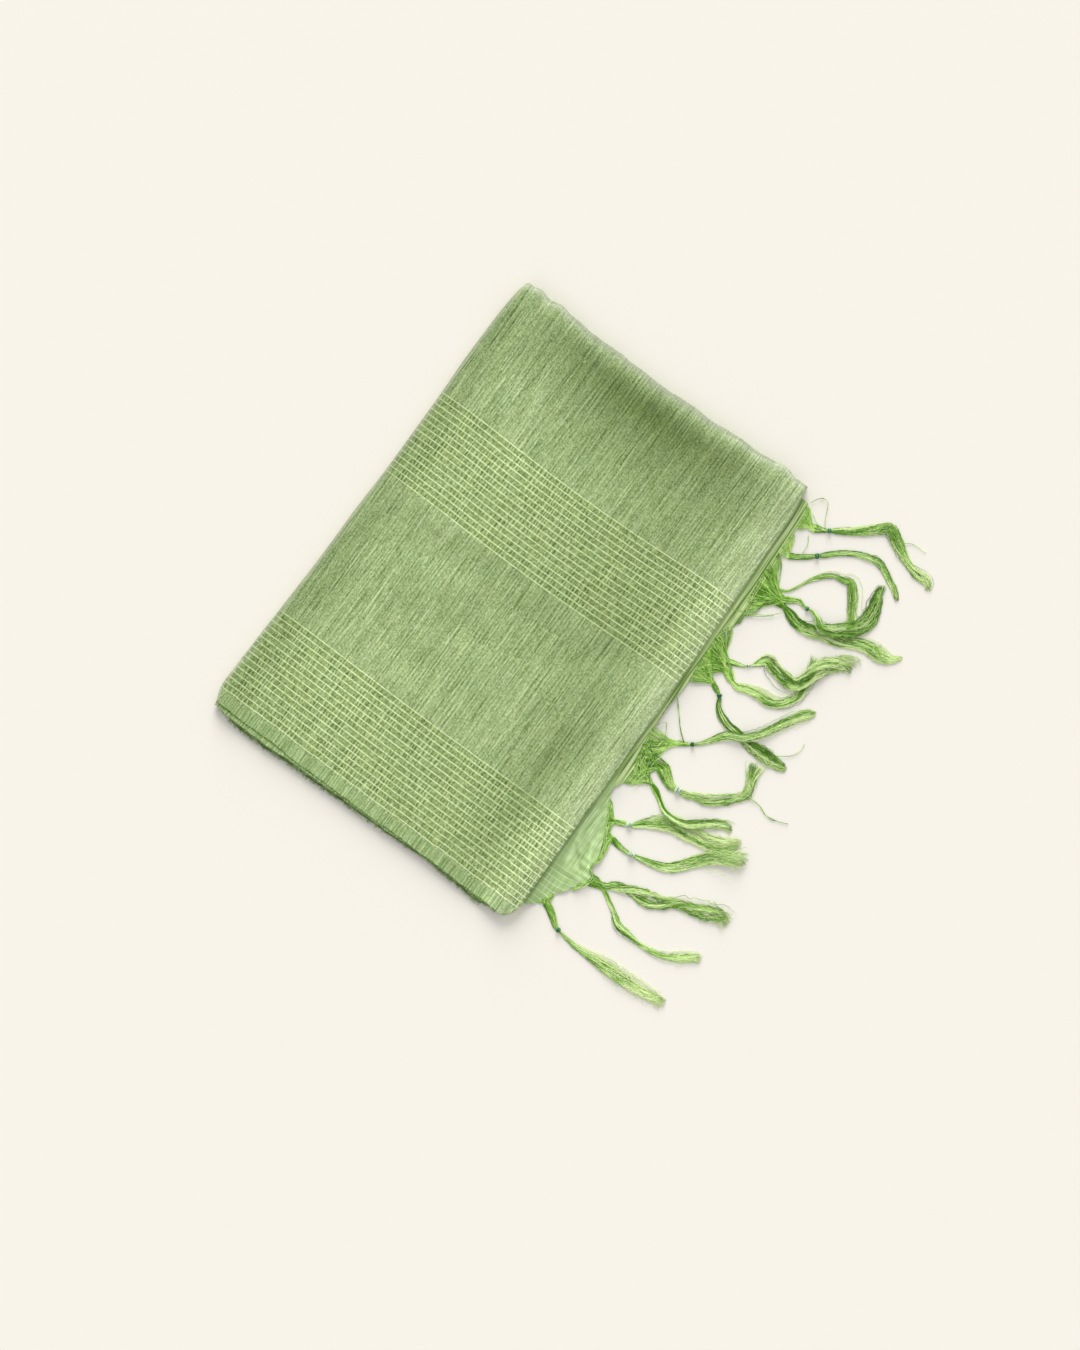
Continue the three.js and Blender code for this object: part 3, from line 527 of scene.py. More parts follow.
class Weave:
    """A material's node tree, with the few node steps that the cloth's finish is made of."""

    def __init__(self, name):
        self.material = bpy.data.materials.new(name)
        self.material.use_nodes = True
        self.nodes = self.material.node_tree.nodes
        self.links = self.material.node_tree.links
        self.shader = self.nodes["Principled BSDF"]
        place = self.nodes.new("ShaderNodeUVMap")
        split = self.nodes.new("ShaderNodeSeparateXYZ")
        self.links.new(place.outputs["UV"], split.inputs[0])
        self.u, self.v = split.outputs["X"], split.outputs["Y"]

    def math(self, kind, *values, clamp=False):
        """One sum of two values or sockets."""
        node = self.nodes.new("ShaderNodeMath")
        node.operation = kind
        node.use_clamp = clamp
        for k, value in enumerate(values):
            self.feed(value, node.inputs[k])
        return node.outputs[0]

    def plus(self, first, second):
        return self.math("ADD", first, second)

    def minus(self, first, second):
        return self.math("SUBTRACT", first, second)

    def times(self, first, second):
        return self.math("MULTIPLY", first, second)

    def feed(self, value, socket):
        """A socket is linked to the socket, and a number or a colour is set on it."""
        if isinstance(value, bpy.types.NodeSocket):
            self.links.new(value, socket)
        else:
            socket.default_value = value

    def held(self, name):
        """The value of that name that the mesh holds at each point."""
        node = self.nodes.new("ShaderNodeAttribute")
        node.attribute_name = name
        return node.outputs["Fac"]

    def step(self, value, low, high, to_low=0.0, to_high=1.0):
        """A smooth rise of value from low to high, or a fall if to_low is the larger."""
        node = self.nodes.new("ShaderNodeMapRange")
        node.interpolation_type = "SMOOTHSTEP"
        numbers = (low, high, to_low, to_high)
        self.feed(value, node.inputs["Value"])
        for name, number in zip(("From Min", "From Max", "To Min", "To Max"), numbers):
            node.inputs[name].default_value = number
        return node.outputs["Result"]

    def noise(self, u_size, v_size, detail=2.0, seed=0.0, u=None):
        """Noise whose grains are u_size by v_size millimetres."""
        place = self.nodes.new("ShaderNodeCombineXYZ")
        self.feed(self.times(u or self.u, 1 / (u_size * MM)), place.inputs[0])
        self.feed(self.times(self.v, 1 / (v_size * MM)), place.inputs[1])
        place.inputs[2].default_value = seed
        node = self.nodes.new("ShaderNodeTexNoise")
        node.inputs["Scale"].default_value = 1.0
        node.inputs["Detail"].default_value = detail
        self.links.new(place.outputs[0], node.inputs["Vector"])
        return node.outputs["Fac"]

    def mix(self, share, first, second):
        """The first colour at a share of 0, the second at 1."""
        node = self.nodes.new("ShaderNodeMix")
        node.data_type = "RGBA"
        self.feed(share, node.inputs["Factor"])
        self.feed(first, node.inputs["A"])
        self.feed(second, node.inputs["B"])
        return node.outputs["Result"]

    def blend(self, grains):
        """Noises added up by their weights, about a middle of zero."""
        total = None
        for grain, weight in grains:
            part = self.times(self.minus(grain, 0.5), weight)
            total = part if total is None else self.plus(total, part)
        return total

    def ramp(self, tone, dark, middle, light):
        """Dark at a tone of -0.5, middle at 0 and light at 0.5."""
        colour = self.mix(self.math("MULTIPLY", tone, 2.0, clamp=True), middle, light)
        return self.mix(self.math("MULTIPLY", tone, -2.0, clamp=True), colour, dark)

    def toned(self, colour, share, each=(1.0, 0.9, 1.2)):
        """The colour made deeper where share is below 0 and paler above it, which also makes it
        greener, or less.
        """
        part = self.nodes.new("ShaderNodeVectorMath")
        part.operation = "SCALE"
        part.inputs[0].default_value = each
        self.feed(share, part.inputs["Scale"])
        whole = self.nodes.new("ShaderNodeVectorMath")
        whole.operation = "ADD"
        whole.inputs[0].default_value = (1.0, 1.0, 1.0)
        self.links.new(part.outputs[0], whole.inputs[1])
        node = self.nodes.new("ShaderNodeVectorMath")
        node.operation = "MULTIPLY"
        self.links.new(colour, node.inputs[0])
        self.links.new(whole.outputs[0], node.inputs[1])
        return node.outputs[0]

    def bump(self, height, depth_mm, under=None):
        """Fine relief of that depth, on top of another relief if one is given."""
        node = self.nodes.new("ShaderNodeBump")
        node.inputs["Distance"].default_value = depth_mm * MM
        node.inputs["Strength"].default_value = 1.0
        self.feed(height, node.inputs["Height"])
        if under is not None:
            self.links.new(under, node.inputs["Normal"])
        return node.outputs["Normal"]


def stripe_masks(weave, bands):
    """How far each point is on a pale warp stripe, and how far it is in a band of them."""
    stripe = band = None
    sway = weave.times(weave.minus(weave.noise(60, 300, seed=3.4), 0.5), STRIPE_SWAY)
    v = weave.plus(weave.v, sway)
    # Both halves of the width carry the same bands, each counted from its own selvedge.
    v = weave.math("MINIMUM", v, weave.minus(2 * HALF_WIDTH * MM, v))
    middle = (STRIPES_IN_BAND - 1) / 2
    for first in bands:
        steps = weave.math("DIVIDE", weave.minus(v, first), STRIPE_PITCH)
        nearest = weave.math("ROUND", steps)
        off = weave.times(weave.math("ABSOLUTE", weave.minus(steps, nearest)), STRIPE_PITCH)
        line = weave.step(off, STRIPE_HALF * 0.55, STRIPE_HALF * 1.35, 1.0, 0.0)
        from_middle = weave.math("ABSOLUTE", weave.minus(nearest, middle))
        line = weave.times(line, weave.math("LESS_THAN", from_middle, middle + 0.5))
        last = first + (STRIPES_IN_BAND - 1) * STRIPE_PITCH
        begun = weave.step(v, first - 3 * MM, first + 1 * MM)
        ended = weave.step(v, last - 1 * MM, last + 3 * MM, 1.0, 0.0)
        soft = weave.times(begun, ended)
        stripe = line if stripe is None else weave.math("MAXIMUM", stripe, line)
        band = soft if band is None else weave.math("MAXIMUM", band, soft)
    return stripe, band


def silk_finish(name):
    """Plain-woven silk: slubby weft streaks, pale warp stripes in bands, a plain selvedge strip."""
    weave = Weave(name)
    slub = weave.noise(1.2, 62, detail=1, seed=1.4)  # the weft yarn's thick and thin places
    beside = weave.noise(1.2, 62, detail=1, seed=1.4, u=weave.plus(weave.u, 1.5 * MM))
    slub_painted_light = weave.plus(weave.minus(slub, beside), 0.5)  # painted light on one flank of each slub, painted shade on the other
    thick_pick = weave.noise(1.3, 60, detail=0, seed=12.4)
    broad = weave.noise(8, 150, detail=2.5, seed=2.4)
    grain = weave.noise(1.25, 1.9, detail=1, seed=4.4)
    tick = weave.noise(1.6, 6.0, detail=1, seed=7.4)  # short floats of weft, in the bands
    dash = weave.noise(1.4, 15, detail=1, seed=8.4)  # and longer ones, between them
    # Faint ribs where the reed beat harder, clearer in some parts than in others.
    sway = weave.times(weave.noise(10, 90, detail=0, seed=9.4), 10.0)
    beat = weave.plus(weave.times(weave.u, 2 * math.pi / (REED_PITCH * MM)), sway)
    beat_share = weave.step(weave.noise(20, 45, detail=0, seed=10.4), 0.36, 0.6, 0.1, 0.5)
    beat = weave.plus(weave.times(weave.math("SINE", beat), beat_share), 0.5)
    slubs = weave.blend([(slub, 0.2), (slub_painted_light, 0.31), (broad, 0.12)])
    slubs = weave.minus(slubs, weave.step(thick_pick, 0.64, 0.7, 0.0, 0.24))
    slubs = weave.plus(slubs, weave.step(thick_pick, 0.3, 0.36, 0.24, 0.0))
    plain_tone = weave.plus(slubs, weave.blend([(grain, 1.4), (dash, 0.6), (beat, 0.24)]))
    colour = weave.ramp(plain_tone, SILK_DARK, SILK, SILK_LIGHT)
    # In the bands the ground is deeper, the slubs are half as strong, and the stripes beaded.
    slubs = weave.times(slubs, 0.5)
    band_tone = weave.plus(slubs, weave.blend([(grain, 1.4), (tick, 1.35), (beat, 0.5)]))
    ground = weave.ramp(band_tone, GROUND_DARK, GROUND, GROUND_LIGHT)
    stripe, band = stripe_masks(weave, STRIPE_BANDS)
    colour = weave.mix(band, colour, ground)
    beads = weave.step(weave.noise(1.8, 7, detail=1, seed=6.4), 0.34, 0.58, 0.55, 1.0)
    colour = weave.mix(weave.times(stripe, beads), colour, STRIPE)
    # Along each selvedge runs a strip of plain weave.
    edge_v = weave.math("MINIMUM", weave.v, weave.minus(2 * HALF_WIDTH * MM, weave.v))
    edge = weave.step(edge_v, 12.2 * MM, 13.6 * MM, 1.0, 0.0)
    edge_tone = weave.blend([(slub, 0.8), (slub_painted_light, 0.6), (grain, 0.9), (broad, 0.6)])
    edge_colour = weave.ramp(edge_tone, SILK_DARK, SELVEDGE_GREEN, SILK_LIGHT)
    colour = weave.mix(edge, colour, edge_colour)
    # Painted light and shade from the held values, uneven dye at random, and a painted sheen of
    # pale grey along the folds and turns.
    colour = weave.toned(colour, weave.held("painted_light_shade"))
    bath = weave.minus(weave.noise(9, 32, detail=2, seed=14.4), 0.5)
    colour = weave.toned(colour, bath, each=(-0.07, 0.0, 0.14))
    colour = weave.mix(weave.held("painted_sheen"), colour, PAINTED_SHEEN_GREY)
    weave.feed(colour, weave.shader.inputs["Base Color"])
    weave.shader.inputs["Roughness"].default_value = 0.58
    weave.shader.inputs["Sheen Weight"].default_value = 0.4
    weave.shader.inputs["Sheen Roughness"].default_value = 0.35
    weave.shader.inputs["Sheen Tint"].default_value = SHEEN
    weave.shader.inputs["Specular IOR Level"].default_value = 0.35
    weft = weave.math("SINE", weave.times(weave.u, 2 * math.pi / WEFT_PITCH))
    warp = weave.math("SINE", weave.times(weave.v, 2 * math.pi / WARP_PITCH))
    relief = weave.bump(weave.times(weft, warp), 0.04)
    for height, depth_mm in ((slub, 0.3), (grain, 0.25), (stripe, 0.15)):
        relief = weave.bump(height, depth_mm, relief)
    weave.feed(relief, weave.shader.inputs["Normal"])
    return weave.material


silk = silk_finish("slubby_silk")
wrap.data.materials.append(silk)
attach(wrap, "root")
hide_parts("outer_stretch")

# ---- The layers inside, seen only at their edges ----------------------------------------------
# The other panels of the same cloth, one round the other, each two plies thick. They show as
# stacked selvedges at -Y and as stacked folds at +Y, none quite under the next.

NESTED = 4
INNER_PLY_APART = 0.42
INNER_PLY_THICK = 0.2
LAYER_COUNTS = {"floor": 22, "great_turn": 12, "top": 180}
# Painted shade on the stacked selvedges, and how far in it reaches.
RIM_PAINTED_SHADE = {"tone": -0.78, "reach": 5.5}
# How far each nested layer's selvedges and fold lie back from the one that stands out furthest.
LAYER_SETBACKS = [
    {"selvedge": 1.5, "fold": 1.4},
    {"selvedge": 0.0, "fold": 2.1},
    {"selvedge": 1.9, "fold": 1.1},
    {"selvedge": 0.4, "fold": 1.8},
]
LAYER_SHARES = np.array(
    [0, 0.008, 0.02, 0.05, 0.12, 0.25, 0.4, 0.6, 0.75, 0.88, 0.95, 0.98, 0.99, 0.996, 1]
)
layer_levels = level(np.concatenate([LAYER_SHARES, LAYER_SHARES[::-1]]))


def layer_grid(k, selvedge, fold):
    """Points and UVs of one nested layer, the k-th from the outside."""
    path = wrap_path(layer_levels, LAYER_COUNTS, inset=(k + 0.12) / NESTED, tucked=False)
    selvedges = (
        lambda x: hidden_selvedge(x) + selvedge,
        lambda x: hidden_selvedge(x) + selvedge * 0.5 + 0.6,
    )
    shares = (LAYER_SHARES, LAYER_SHARES[::-1])
    loose = {"fold_in": fold, "wobble": 0.9, "lean": 0.3, "seed": 11 + k}
    return doubled_cloth(path, shares, selvedges, INNER_PLY_APART, **loose)


layer_grids = [layer_grid(k, **setback) for k, setback in enumerate(LAYER_SETBACKS)]


def layer_painted_shade(x, y, across):
    """Painted shade on the stacked selvedges, uneven along their length."""
    uneven = 0.8 + 0.2 * np.sin(x / 5.3) + 0.16 * np.sin(x / 2.1 + 1.3)
    rim = 1 - ramp(y - hidden_selvedge(x), 1.0, RIM_PAINTED_SHADE["reach"])
    return {"painted_light_shade": RIM_PAINTED_SHADE["tone"] * rim * uneven}


layers = cloth_object("inner_layers", layer_grids, INNER_PLY_THICK, layer_painted_shade)
layers.data.materials.append(silk)
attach(layers, "root")
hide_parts("hidden_layers")

# ---- The end piece ----------------------------------------------------------------------------
# The last hand's breadth of the cloth, a single ply that slips out between the turns at +X and
# drops to the board. It is woven more openly, so it is paler, and the tassels pull its last pick
# into points and hollows.

END_THICK = 0.35
END_REACH = (-264, 270)  # the part that shows, in y
INSIDE_HEIGHT = 5.6
LYING_HEIGHT = 1.2
FALL = (0.8, 13)  # how far past the turns it begins and ends its drop
TUCKED_IN = 11.0
DRAWN_TO = -200.0  # the y of the knot that draws its corner together
WOVEN_EDGE = {
    "y": [-264, -253, -240, -229, -213, -205, -200, -195, -190, -184, -172, -158, -142, -125, -106,
          -92, -80, -60, -38, 0, 38, 60, 98, 110, 122, 132, 148, 185, 245, 262, 270],
    "x": [206, 217, 223, 233, 242, 245.5, 246.5, 245, 239, 240.5, 240, 234, 226, 217, 209,
          216, 217, 211, 207, 205, 207.5, 206, 204, 209, 215, 213, 208.5, 205, 204.5, 202, 198],
}
# Sharp small creases that the knots' pull leaves.
END_CREASES = [
    {"start": (219, -134), "end": (229, -200), "rise": -1.5, "wide": 1.7},
    {"start": (223, -164), "end": (243, -200), "rise": 1.5, "wide": 2.2},
    {"start": (208, -176), "end": (238, -204), "rise": -1.2, "wide": 2.0},
    {"start": (205, -148), "end": (215, -200), "rise": 1.0, "wide": 2.8},
]
CREASE_PAINTED_LIGHT_SHADE = 0.15  # how much painted light for each millimetre that a crease rises, and painted shade where it sinks
# A patch of painted shade beside the turn.
BESIDE_TURN_PAINTED_SHADE = {"at": (204, -160), "reach": (5, 16), "tone": -0.16}
woven_edge = curve(WOVEN_EDGE, "y", "x")


def end_height(x, y):
    """The upper face of the end piece: between the turns, then down to the board, and rippled."""
    past = x - right_edge(y)
    fallen = ramp(past, *FALL)
    ripple = np.sin(y / 3.3 + x * 0.06) + 0.6 * np.sin(y / 1.9 - x * 0.1 + 1.0)
    gather = near(y - DRAWN_TO, 26) * ramp(past, 10, 40)
    lifted = (0.45 + 0.28 * ripple) * ramp(past, 3, 16)
    lifted += gather * (2.2 + 0.5 * np.sin(y / 1.35))
    for crease in END_CREASES:
        lifted = lifted + crease_rise(x, y, **crease) * ramp(past, 3, 10)
    return INSIDE_HEIGHT + (LYING_HEIGHT - INSIDE_HEIGHT) * fallen + np.maximum(lifted, -0.6)


end_rows = np.linspace(*END_REACH, 460)
end_shares = np.linspace(0, 1, 40)[:, None]
frayed = 0.5 * np.sin(end_rows * 1.9) + 0.4 * np.sin(end_rows * 0.83 + 2)
end_begin = right_edge(end_rows) - TUCKED_IN
end_x = end_begin + (woven_edge(end_rows) + frayed * end_shares - end_begin) * end_shares
# Toward the knots the rows draw together, so the cloth narrows to a neck there.
draw = near(end_rows - DRAWN_TO, 34) * ramp(end_x - right_edge(end_rows), 14, 52)
end_y = end_rows + 0.45 * draw * (DRAWN_TO + 1 - end_rows)
end_points = np.stack([end_x, end_y, end_height(end_x, end_y)], axis=-1) * MM
end_v = np.broadcast_to(end_rows + FOLDED_WIDTH / 2, end_x.shape)
end_uv = np.stack([end_x - right_edge(end_rows) + 200, end_v], axis=-1)


def end_painted_light_shade(x, y, across):
    """Painted light on the ridges of the end piece's creases, painted shade in their troughs and beside
    the turn.
    """
    (at_x, at_y), (reach_x, reach_y) = BESIDE_TURN_PAINTED_SHADE["at"], BESIDE_TURN_PAINTED_SHADE["reach"]
    total = BESIDE_TURN_PAINTED_SHADE["tone"] * near(x - at_x, reach_x) * near(y - at_y, reach_y)
    for crease in END_CREASES:
        total += CREASE_PAINTED_LIGHT_SHADE * crease_rise(x, y, **crease)
    return {"painted_light_shade": total}


end_cloth = cloth_object("end_cloth", [(end_points, end_uv * MM)], END_THICK, end_painted_light_shade)

GAUZE = srgb(208, 235, 170)
GAUZE_DARK = srgb(154, 187, 110)
GAUZE_LIGHT = srgb(234, 248, 208)
PACKED = srgb(184, 214, 132)
# Also the colour of the painted shadow beside the turns.
PACKED_AND_SHADOW_DARK = srgb(106, 140, 56)
PACKED_LIGHT = srgb(228, 243, 180)


def gauze_finish(name):
    """The open weave at the end: pale, with fine slack picks and the first band's stripes."""
    weave = Weave(name)
    picks = weave.noise(0.9, 40, detail=3, seed=21.0)
    patch = weave.noise(14, 22, detail=2, seed=22.0)
    colour = weave.mix(weave.step(picks, 0.4, 0.52, 0.9, 0.0), GAUZE, GAUZE_DARK)
    colour = weave.mix(weave.step(picks, 0.52, 0.64, 0.0, 0.9), colour, GAUZE_LIGHT)
    colour = weave.mix(weave.step(patch, 0.35, 0.65, 0.5, 0.0), colour, GAUZE_DARK)
    # Toward +Y it is packed closer, and deeper in colour.
    packed = weave.step(weave.v, 150 * MM, 210 * MM)
    lines = weave.noise(2.2, 90, detail=1, seed=23.0)
    dense_tone = weave.blend([(lines, 4.0), (picks, 1.6)])
    dense = weave.ramp(dense_tone, PACKED_AND_SHADOW_DARK, PACKED, PACKED_LIGHT)
    colour = weave.mix(packed, colour, dense)
    # The stripes are clear only near the selvedge.
    stripe, band = stripe_masks(weave, STRIPE_BANDS[:1])
    clear = weave.step(weave.v, 72 * MM, 88 * MM, 0.5, 0.14)
    colour = weave.mix(weave.times(band, clear), colour, GAUZE_DARK)
    colour = weave.mix(weave.times(stripe, clear), colour, GAUZE_LIGHT)
    # painted light and shade from the held values
    colour = weave.toned(colour, weave.held("painted_light_shade"))
    # Beside the turns a painted shadow darkens it.
    shadow_under_turns = weave.step(weave.u, 200.5 * MM, 206 * MM, 0.4, 0.0)
    colour = weave.mix(shadow_under_turns, colour, PACKED_AND_SHADOW_DARK)
    weave.feed(colour, weave.shader.inputs["Base Color"])
    weave.shader.inputs["Roughness"].default_value = 0.6
    weave.shader.inputs["Sheen Weight"].default_value = 0.2
    weave.feed(weave.bump(picks, 0.5), weave.shader.inputs["Normal"])
    return weave.material


end_cloth.data.materials.append(gauze_finish("open_silk"))
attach(end_cloth, "root")
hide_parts("end_piece")

# ---- The tassels ------------------------------------------------------------------------------
# Past the last pick the warp is left unwoven. It is gathered by hand into sixteen tassels, each
# bound or knotted once, and the loose ends lie as they fell: flat, softly twisted and frayed.

# Each row: the node it stands for, the stretch of the woven edge that its warp comes from, its knot
# and which of the route's points that is at; how many radians it is twisted, its shade where it
# gathers and at its tip, the shade of its fan, and how far its slack picks have slipped; then the
# route of the tail: x, y, width and, where it lies over another tassel, how far that lifts it.
TASSELS = [
    {"node": "tassel_01", "roots": (241, 268), "knot": "dark", "knot_at": 1,
     "twist": 3.5, "shade": (-0.44, 0.59), "fan": 0.32,
     "route": [
         (221.3, 252.9, 7), (231.5, 257.5, 4), (241.3, 264.4, 6), (258.1, 277, 9), (272.1, 289.5, 11),
         (286, 300.7, 12), (298.7, 295.2, 11.5), (312.6, 286.8, 8.5), (326.6, 280.5, 5.5),
         (340.5, 277.6, 8), (353.2, 277, 6.5), (361.6, 268.6, 2),
     ]},
    {"node": "tassel_02", "roots": (207, 234), "knot": "dark", "knot_at": 2,
     "shade": (-0.27, 0.16), "fan": 0.47,
     "route": [
         (215.8, 211.5, 6), (224.5, 216.9, 5), (239.9, 229.4, 5), (255.3, 244.8, 5.5),
         (270.6, 256, 5.5), (286, 262.3, 7), (298.7, 264.4, 7), (309.8, 260.2, 6), (319.6, 254.6, 5),
         (330.8, 249.1, 5), (339.9, 239.9, 2),
     ]},
    {"node": "tassel_03", "roots": (164, 207), "knot": "none", "knot_at": 0,
     "shade": (-0.04, -0.06), "fan": 0.05,
     "route": [
         (228.8, 176.4, 3), (235.8, 179.2, 2), (241.3, 187.5, 2), (246.9, 200.1, 3), (255.3, 212.7, 6),
         (266.5, 222.5, 5), (277.6, 225.3, 6), (287.4, 228, 8), (295.8, 219.6, 9), (302.8, 209.9, 8),
         (309.8, 198.7, 7), (316.8, 190.3, 6, 2.4), (321, 184.8, 4, 4.4),
     ]},
    {"node": "tassel_04", "roots": (129, 180), "knot": "none", "knot_at": 1,
     "shade": (-0.53, 0.72), "fan": -0.08,
     "route": [
         (231.1, 164.6, 9), (241.3, 163.8, 8), (252.6, 161, 9), (263.7, 157.5, 10), (277.6, 158.2, 11),
         (291.7, 163.8, 12), (305.6, 166.6, 11), (319.6, 170.8, 9), (333.5, 177.8, 9),
         (347.5, 180.5, 12), (361.6, 181.3, 12), (372.7, 186.2, 6), (380.4, 195.9, 1.5),
     ]},
    {"node": "tassel_05", "roots": (142, 185), "knot": "dark", "knot_at": 2,
     "shade": (-0.33, -0.39), "fan": -0.13,
     "route": [
         (242, 172.2, 7), (252.9, 178.8, 5), (263, 176.4, 3), (270.6, 177.8, 3, 1.5),
         (280.5, 174.9, 5, 3), (288.9, 169.4, 8, 4.2), (300.1, 173.5, 11, 4.2), (309.8, 181.9, 13, 4.2),
         (319.6, 189.8, 14, 2), (325, 204.9, 16), (321.9, 222.4, 14), (317.4, 236.4, 8),
         (317.5, 247.6, 4),
     ]},
    {"node": "tassel_06", "roots": (65, 113), "knot": "thin", "knot_at": 2,
     "twist": 3.2, "shade": (-0.03, 0.25), "fan": 0.04,
     "route": [
         (227.4, 79.9, 6), (241.3, 84.1, 3.5), (246.9, 86.2, 2), (252.6, 91.1, 2), (258.1, 99.5, 7),
         (263.7, 105.1, 12), (277.6, 102.2, 12), (291.7, 100.9, 13, 0.6), (302.8, 102.2, 12, 1.6),
         (308.5, 113.5, 12, 3), (312.8, 127.4, 14, 3), (319.6, 139, 15, 1), (330.8, 148.5, 15),
         (341.9, 155.4, 14), (345.6, 150.9, 13),
     ]},
    {"node": "tassel_07", "roots": (46, 98), "knot": "none", "knot_at": 1,
     "shade": (0.48, -0.20), "fan": 0.04,
     "route": [
         (235.8, 70.2, 9), (242.7, 65.9, 8), (252.6, 63.1, 7), (263.7, 67.4, 8), (277.6, 70.2, 10),
         (287.4, 70.2, 11), (298.7, 74.3, 10), (307.1, 82.7, 8), (312.6, 92.5, 8), (311.7, 106.5, 9),
         (310.1, 119.9, 10), (306.3, 142, 9),
     ]},
    {"node": "tassel_08", "roots": (38, 78), "knot": "dark", "knot_at": 1,
     "shade": (-0.58, -0.04), "fan": 0.07,
     "route": [
         (231.5, 50.2, 6), (243.4, 43.6, 4.5), (249.7, 33.8, 6), (258.1, 28.2, 7), (270.6, 24.1, 7.5),
         (284.7, 22.7, 8), (298.7, 19.8, 10), (312.6, 19.8, 13), (326.6, 19.5, 14), (338, 19.8, 9),
         (351, 22, 2),
     ]},
    {"node": "tassel_09", "roots": (-68, -26), "knot": "dark", "knot_at": 1,
     "shade": (-0.21, 0.29), "fan": 0.19,
     "route": [
         (238.7, -24, 5), (249.7, -17.2, 3), (258.1, -9.5, 3.5), (266.5, 1.6, 6), (274.9, 12.9, 8, 1.5),
         (288.9, 21.3, 8, 3.6), (300.1, 32.4, 7.5, 3.8), (308.4, 45, 7.5, 1.4), (316.8, 60.4, 8),
         (325.1, 74.3, 9), (333.5, 84.1, 7), (341.9, 91.1, 2),
     ]},
    {"node": "tassel_10", "roots": (-85, -44), "knot": "pale", "knot_at": 2,
     "shade": (0.22, -0.02), "fan": -0.16, "slack": (1, 4, 7.5, 11.5),
     "route": [
         (242, -56.7, 14), (258.1, -65.9, 9), (276.3, -64.5, 7), (286, -60.4, 8), (298.7, -56.1, 11),
         (311.2, -47.7, 11), (322.4, -36.6, 8), (329.7, -26.4, 8), (328, -17, 8), (322.4, -3.1, 9),
         (318.2, 8.1, 8),
     ]},
    {"node": "tassel_11", "roots": (-94, -57), "knot": "none", "knot_at": 0,
     "shade": (-0.23, 0.27), "fan": 0.04, "slack": (1.5, 5, 9),
     "route": [
         (241.3, -77.7, 6), (250.7, -81.8, 5), (258.1, -86.9, 4), (269.3, -93.2, 4, 2),
         (283.3, -94, 4.5, 3.6), (295.8, -91.1, 6, 4), (305.6, -84.1, 7, 3.6), (316.8, -75.8, 7, 1.6),
         (328, -68.8, 8), (341.9, -64.5, 7),
     ]},
    {"node": "tassel_12", "roots": (-153, -118), "knot": "pale", "knot_at": 1,
     "twist": 3.2, "shade": (-0.23, 0.91), "fan": 0.02,
     "route": [
         (232.9, -132.8, 6), (248.3, -126.8, 5), (258.1, -117.6, 8), (269.3, -107.9, 13),
         (283.3, -99.5, 16), (295.8, -97.8, 16), (309.8, -96.7, 15), (326.6, -94.2, 14),
         (340.5, -88.6, 13), (353.2, -81.3, 12), (361.6, -75.8, 9),
     ]},
    {"node": "tassel_13", "roots": (-187, -142), "knot": "pale", "knot_at": 2,
     "twist": 3.5, "shade": (-0.43, 0.42), "fan": 0.12,
     "route": [
         (240.9, -151.5, 6), (248.5, -153.1, 6), (258.9, -154, 5), (269.3, -152.6, 5),
         (283.3, -149.8, 6), (298.7, -145.6, 8), (311.2, -138.6, 9), (321, -127.4, 10),
         (330.8, -114.9, 10), (340.5, -103.7, 12, 1), (351.7, -95.3, 14, 2.6), (365.7, -88.3, 14, 3),
         (376.4, -84.7, 12, 2),
     ]},
    {"node": "tassel_14", "roots": (-214, -187), "knot": "none", "knot_at": 1,
     "twist": 9.0, "shade": (-0.09, 0.12), "fan": 0.22,
     "route": [
         (244.3, -199.3, 11), (255.1, -198.4, 9), (266, -196.2, 6), (273.7, -191.1, 10),
         (291.9, -186.5, 15), (308.6, -182.8, 16), (323.6, -175.9, 13), (338.8, -165.4, 13),
         (353.9, -160.8, 12), (370.6, -156.2, 13), (387.3, -150.2, 15), (399.2, -151.1, 15),
     ]},
    {"node": "tassel_15", "roots": (-222, -201), "knot": "none", "knot_at": 1,
     "twist": 4.5, "shade": (-0.31, 0.50), "fan": 0.22,
     "route": [
         (248.5, -204.9, 6), (264.7, -201.7, 5), (276.8, -207.8, 4), (288.9, -215.3, 5),
         (299.4, -223.2, 7), (313, -224.8, 7), (328.2, -226.1, 4), (343.4, -225.1, 4),
         (358.5, -222.8, 4.5), (372.1, -215.3, 7), (384.2, -206.7, 9), (397.9, -199, 8),
     ]},
    {"node": "tassel_16", "roots": (-255, -237), "knot": "dark", "knot_at": 2,
     "shade": (-0.36, 0.82), "fan": 0.12,
     "route": [
         (224.6, -249.3, 9), (235.7, -255.3, 8), (246.7, -264.4, 6), (256.6, -266.7, 3),
         (270.6, -269, 4), (288.9, -269.4, 6), (308.6, -268.8, 10), (328.2, -269, 12),
         (346.4, -269, 12), (366, -267.7, 10), (384.2, -265.2, 9), (394.1, -265.5, 7),
     ]},
]
